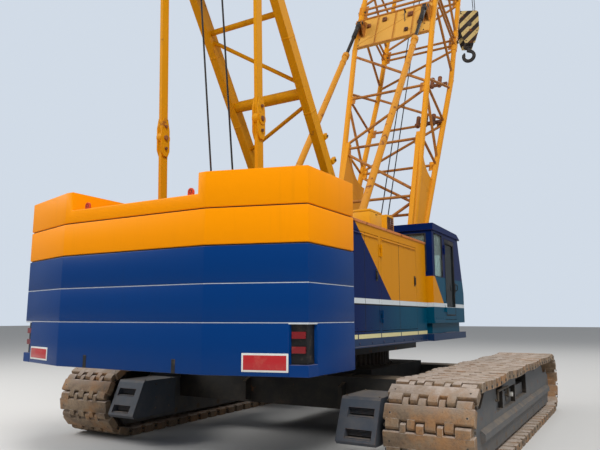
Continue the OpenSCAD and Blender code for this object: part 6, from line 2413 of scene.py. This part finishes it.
@dataclass
class Underframe(Assembly):
    """Covers, hoses and brackets seen in the side frames, handles, treads and slew-ring bolts."""

    outer_x: float = 3.21
    openings: tuple[tuple[float, ...], ...] = ((-1.78, -1.33, 0.62, 0.94), (-1.25, -0.38, 0.6, 0.87),
                                               (-0.33, 0.65, 0.62, 0.94))
    track_x: float = 2.83
    rollers: tuple[float, ...] = (-2.35, -1.88, -1.41, -0.94, -0.47, 0.0, 0.47, 0.94, 1.41, 1.88, 2.35)
    handle_y: Pair = (-1.13, -1.82)
    step_levels: tuple[Point, ...] = ((0.46, 0.57, -3.615), (0.7, 0.81, -3.515))
    ring_r: float = 0.95
    ring_bolts: int = 40

    def frame_fittings(self) -> None:
        """Black backs and black linings in the openings as painted shade, roller covers, the bar handle and
        the white pin on each side frame.
        """
        shape = Shape("side_frame_fittings")
        for side in SIDES:
            out = side * self.outer_x
            low, high = across(side, self.outer_x - 0.3, self.outer_x - 0.28)
            # Black sheet behind the openings and black linings on their rear and top walls: painted shade
            # inside the side frame.
            shape.use(Look.BLACK).box((low, -1.95, 0.56), (high, 0.8, 0.97), 0.0)
            low, high = across(side, self.outer_x - 0.3, self.outer_x - 0.006)
            for y0, y1, z0, z1 in self.openings:
                shape.box((low, y1 - 0.006, z0), (high, y1 - 0.002, z1), 0.0)
                shape.box((low, y0, z1 - 0.006), (high, y1 - 0.006, z1 - 0.002), 0.0)
            shape.use(Look.DARK)
            turn = Matrix.Rotation(side * math.pi / 2, 4, "Y")
            for y, radius in ((-0.72, 0.115), (-0.13, 0.12)):
                cover = [(0.0, 0.0), (radius, 0.0), (radius, 0.03), (radius - 0.03, 0.04), (0.045, 0.04),
                         (0.04, 0.06), (0.0, 0.06)]
                shape.lathe(cover, Matrix.Translation((out - side * 0.09, y, 0.74)) @ turn, 24)
            shape.use(Look.CAST)
            bar = out + side * 0.035
            corners = [(bar, y, 0.905) for y in self.handle_y]
            shape.rod(*corners, 0.016, 10)
            for x, y, z in corners:
                shape.rod((x, y, z), (x, y, 0.78), 0.016, 10)
            for x, y, z in corners:
                shape.rod((out - side * 0.01, y, 0.78), (x, y, 0.78), 0.016, 10)
                shape.ring(along_x((x, y, z)), 0.001, 0.0155, 8, 8)
            pin = (-0.637, 0.738)
            shape.use(Look.PIN_WHITE)
            shape.rod((out - side * 0.05, *pin), (out + side * 0.012, *pin), 0.036, 20, bevel=0.006)
        shape.finish(self.palette, Body.LOWER)

    def inner_parts(self) -> None:
        """Roller brackets and hoses that show inside the openings."""
        shape = Shape("frame_inner_parts")
        for side in SIDES:
            middle = side * self.track_x
            shape.use(Look.CAST)
            for y, out in itertools.product(self.rollers, SIDES):
                low, high = across(out, 0.2, 0.25)
                shape.box((middle + low, y - 0.075, 0.42), (middle + high, y + 0.075, 0.5), 0.012, 2)
            shape.use(Look.RUBBER)
            for z, x in ((0.86, middle + 0.05), (0.83, middle - 0.06)):
                path = [(x, -3.0, z - 0.12), (x, -2.4, z - 0.03), (x, -1.5, z - 0.1), (x, -0.6, z - 0.02),
                        (x, 0.2, z - 0.09), (x, 0.9, z - 0.16)]
                shape.pipe(smooth_path(path, 5), 0.022)
        shape.finish(self.palette, Body.LOWER)

    def step_boxes(self) -> None:
        """Tread bars with a black back behind them as painted shade, and edge trim on the folded step boxes.
        """
        shape = Shape("step_box_treads")
        for side in SIDES:
            low_x, high_x = across(side, 1.8, 2.15)
            x0, x1 = low_x + 0.004, high_x - 0.004
            for low, high, front in self.step_levels:
                # Black box behind the tread bars: painted shade inside the step box.
                shape.use(Look.BLACK)
                shape.box((x0, front + 0.075, low + 0.004), (x1, front + 0.09, high - 0.004), 0.0)
                shape.use(Look.STEP)
                for tread in range(5):
                    z = low + 0.034 + 0.016 * tread
                    shape.box((x0, front + 0.04, z), (x1, front + 0.075, z + 0.005), 0.0)
                shape.box((low_x - 0.03, front - 0.03, low - 0.012),
                          (high_x + 0.03, front + 0.05, low + 0.014), 0.006, 2)
            shape.use(Look.CAST)
            spots = [(side * x, y, 0.93) for y in (-3.4, -2.82) for x in (1.73, 2.17)]
            shape.bolts(spots, Axis.Z, 0.014, 0.012)
            spots = [(side * 1.69, y, z) for z in (0.5, 0.66, 0.86) for y in (-3.2, -2.9)]
            shape.bolts(spots, Axis.X, 0.012, 0.01, -side)
        shape.finish(self.palette, Body.LOWER)

    def slew_ring(self) -> None:
        """The ring of bolts round the slewing bearing."""
        shape = Shape("slew_ring_bolts").use(Look.CAST)
        angles = [2 * math.pi * bolt / self.ring_bolts for bolt in range(self.ring_bolts)]
        spots = [(self.ring_r * math.cos(angle), self.ring_r * math.sin(angle), 1.06) for angle in angles]
        shape.bolts(spots, Axis.Z, 0.016, 0.02)
        shape.finish(self.palette, Body.LOWER)

    def build(self) -> None:
        """Builds the lower works' fittings."""
        self.frame_fittings()
        self.inner_parts()
        self.step_boxes()
        self.slew_ring()


ASSEMBLIES = (Counterweight, Crawlers, House, EngineBay, Cab, Gantry, Winches, Boom, Ropes, HookBlock,
              Underframe)


# Camera, floor and light


@dataclass(frozen=True)
class Studio:
    """The photograph's view over a plain pale floor."""

    place: Point = (5.014, -10.296, 1.9)
    yaw: float = 0.5225
    pitch: float = 0.1569
    focal_px: float = 584.2
    width_px: float = 600.0
    sensor: float = 36.0

    def build(self) -> None:
        """Makes the camera, floor, world and lamps."""
        scene = bpy.context.scene
        scene.view_settings.view_transform = "Standard"
        lens = bpy.data.cameras.new("photo_camera")
        lens.sensor_width = self.sensor
        lens.lens = self.focal_px / self.width_px * self.sensor
        lens.clip_end = 500
        camera = bpy.data.objects.new("photo_camera", lens)
        camera.location = self.place
        camera.rotation_euler = (math.pi / 2 + self.pitch, 0, self.yaw)
        bpy.context.collection.objects.link(camera)
        scene.camera = camera
        self.floor()
        self.world(scene)
        self.lamp("key", (14, -16, 22), 9, 5200)
        self.lamp("fill", (-16, -10, 14), 12, 2600)
        self.lamp("rim", (4, 20, 24), 12, 2600)

    def floor(self) -> None:
        """A wide pale floor."""
        part = bmesh.new()
        bmesh.ops.create_grid(part, x_segments=1, y_segments=1, size=120)
        mesh = bpy.data.meshes.new("studio_floor")
        part.to_mesh(mesh)
        part.free()
        floor = bpy.data.objects.new("studio_floor", mesh)
        bpy.context.collection.objects.link(floor)
        grey = new_material("studio_floor").surface(in_Base_Color=rgb(206, 204, 200), in_Roughness=0.9)
        mesh.materials.append(grey)

    def world(self, scene: bpy.types.Scene) -> None:
        """A pale sky that the camera sees as a soft light blue.

        Args:
            scene: The scene that gets it.
        """
        world = bpy.data.worlds.new("studio_world")
        world.use_nodes = True
        world.node_tree.nodes.clear()
        graph = Graph(world.node_tree)
        rays = graph.add("LightPath")
        seen = graph.math("MAXIMUM", rays.outputs["Is Camera Ray"], rays.outputs["Is Transmission Ray"])
        back = graph.add("Background")
        graph.feed(back.inputs["Color"], graph.mix(seen, rgb(226, 232, 240), rgb(214, 224, 236)))
        graph.feed(back.inputs["Strength"], graph.span(seen, 0.0, 1.0, 0.46, 0.95, smooth=False))
        output = graph.add("OutputWorld")
        graph.feed(output.inputs["Surface"], back.outputs[0])
        scene.world = world

    @staticmethod
    def lamp(name: str, place: Point, size: float, power: float) -> None:
        """A soft lamp that looks at the crane.

        Args:
            name: Name of the lamp.
            place: Where it stands.
            size: Width of its face.
            power: Its power in watts.
        """
        light = bpy.data.lights.new(name, "AREA")
        light.size = size
        light.energy = power
        lamp = bpy.data.objects.new(name, light)
        lamp.location = place
        lamp.rotation_euler = (Vector((0, -1, 3)) - Vector(place)).to_track_quat("-Z", "Y").to_euler()
        bpy.context.collection.objects.link(lamp)


CAD_LOOKS: dict[str, Look] = {
    "carbody": Look.CARBODY_SHADED, "slew_gear": Look.CAST, "track_frames": Look.UNDER, "sprockets": Look.CAST,
    "idlers": Look.CAST, "rollers": Look.CAST, "travel_drives": Look.STEP, "revolving_frame": Look.BED,
    "side_decks": Look.DECK, "engine": Look.ENGINE, "left_house": Look.HOUSE, "right_house": Look.HOUSE,
    "house_roofs": Look.HOUSE, "left_door_rear": Look.HOUSE, "left_door_front": Look.HOUSE,
    "right_door_rear": Look.HOUSE, "right_door_front": Look.HOUSE, "counterweight_base": Look.SLAB_BLUE,
    "counterweight_slab_2": Look.SLAB_BLUE, "counterweight_slab_3": Look.SLAB_BLUE,
    "counterweight_slab_4": Look.SLAB_ORANGE, "counterweight_slab_5": Look.SLAB_ORANGE,
    "track_left": Look.SHOE, "track_right": Look.SHOE,
    "lamp_housings": Look.BLACK, "tail_lamps": Look.LENS, "roof_boxes": Look.BOX_YELLOW,
    "cab_shell": Look.CAB, "cab_glass": Look.GLASS, "operator_seat": Look.CLOTH, "cab_door": Look.CAB,
    "cab_door_glass": Look.SHADED_DOOR_GLASS, "main_drum": Look.CAST, "boom_hoist_drum": Look.CAST,
    "gantry_legs": Look.GANTRY, "gantry_links": Look.GANTRY,
    "apex_sheaves": Look.CAST, "backstop_tubes": Look.BACKSTOP, "backstop_rods": Look.DARK,
    "boom_base": Look.LATTICE, "boom_insert": Look.LATTICE, "boom_tip": Look.LATTICE,
    "head_sheaves": Look.CAST,
    "pendants": Look.DARK, "hoist_falls": Look.DARK, "hook_block": Look.BLOCK, "hook": Look.DARK,
}


def main() -> None:
    """Builds the whole scene in order."""
    logging.basicConfig(level=logging.INFO, format="%(message)s")
    Studio().build()
    palette = Palette()
    dress(palette, CAD_LOOKS)
    for assembly in ASSEMBLIES:
        LOG.info("building %s", assembly.__name__)
        assembly(palette).build()
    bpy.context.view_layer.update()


if __name__ == "__main__":
    main()
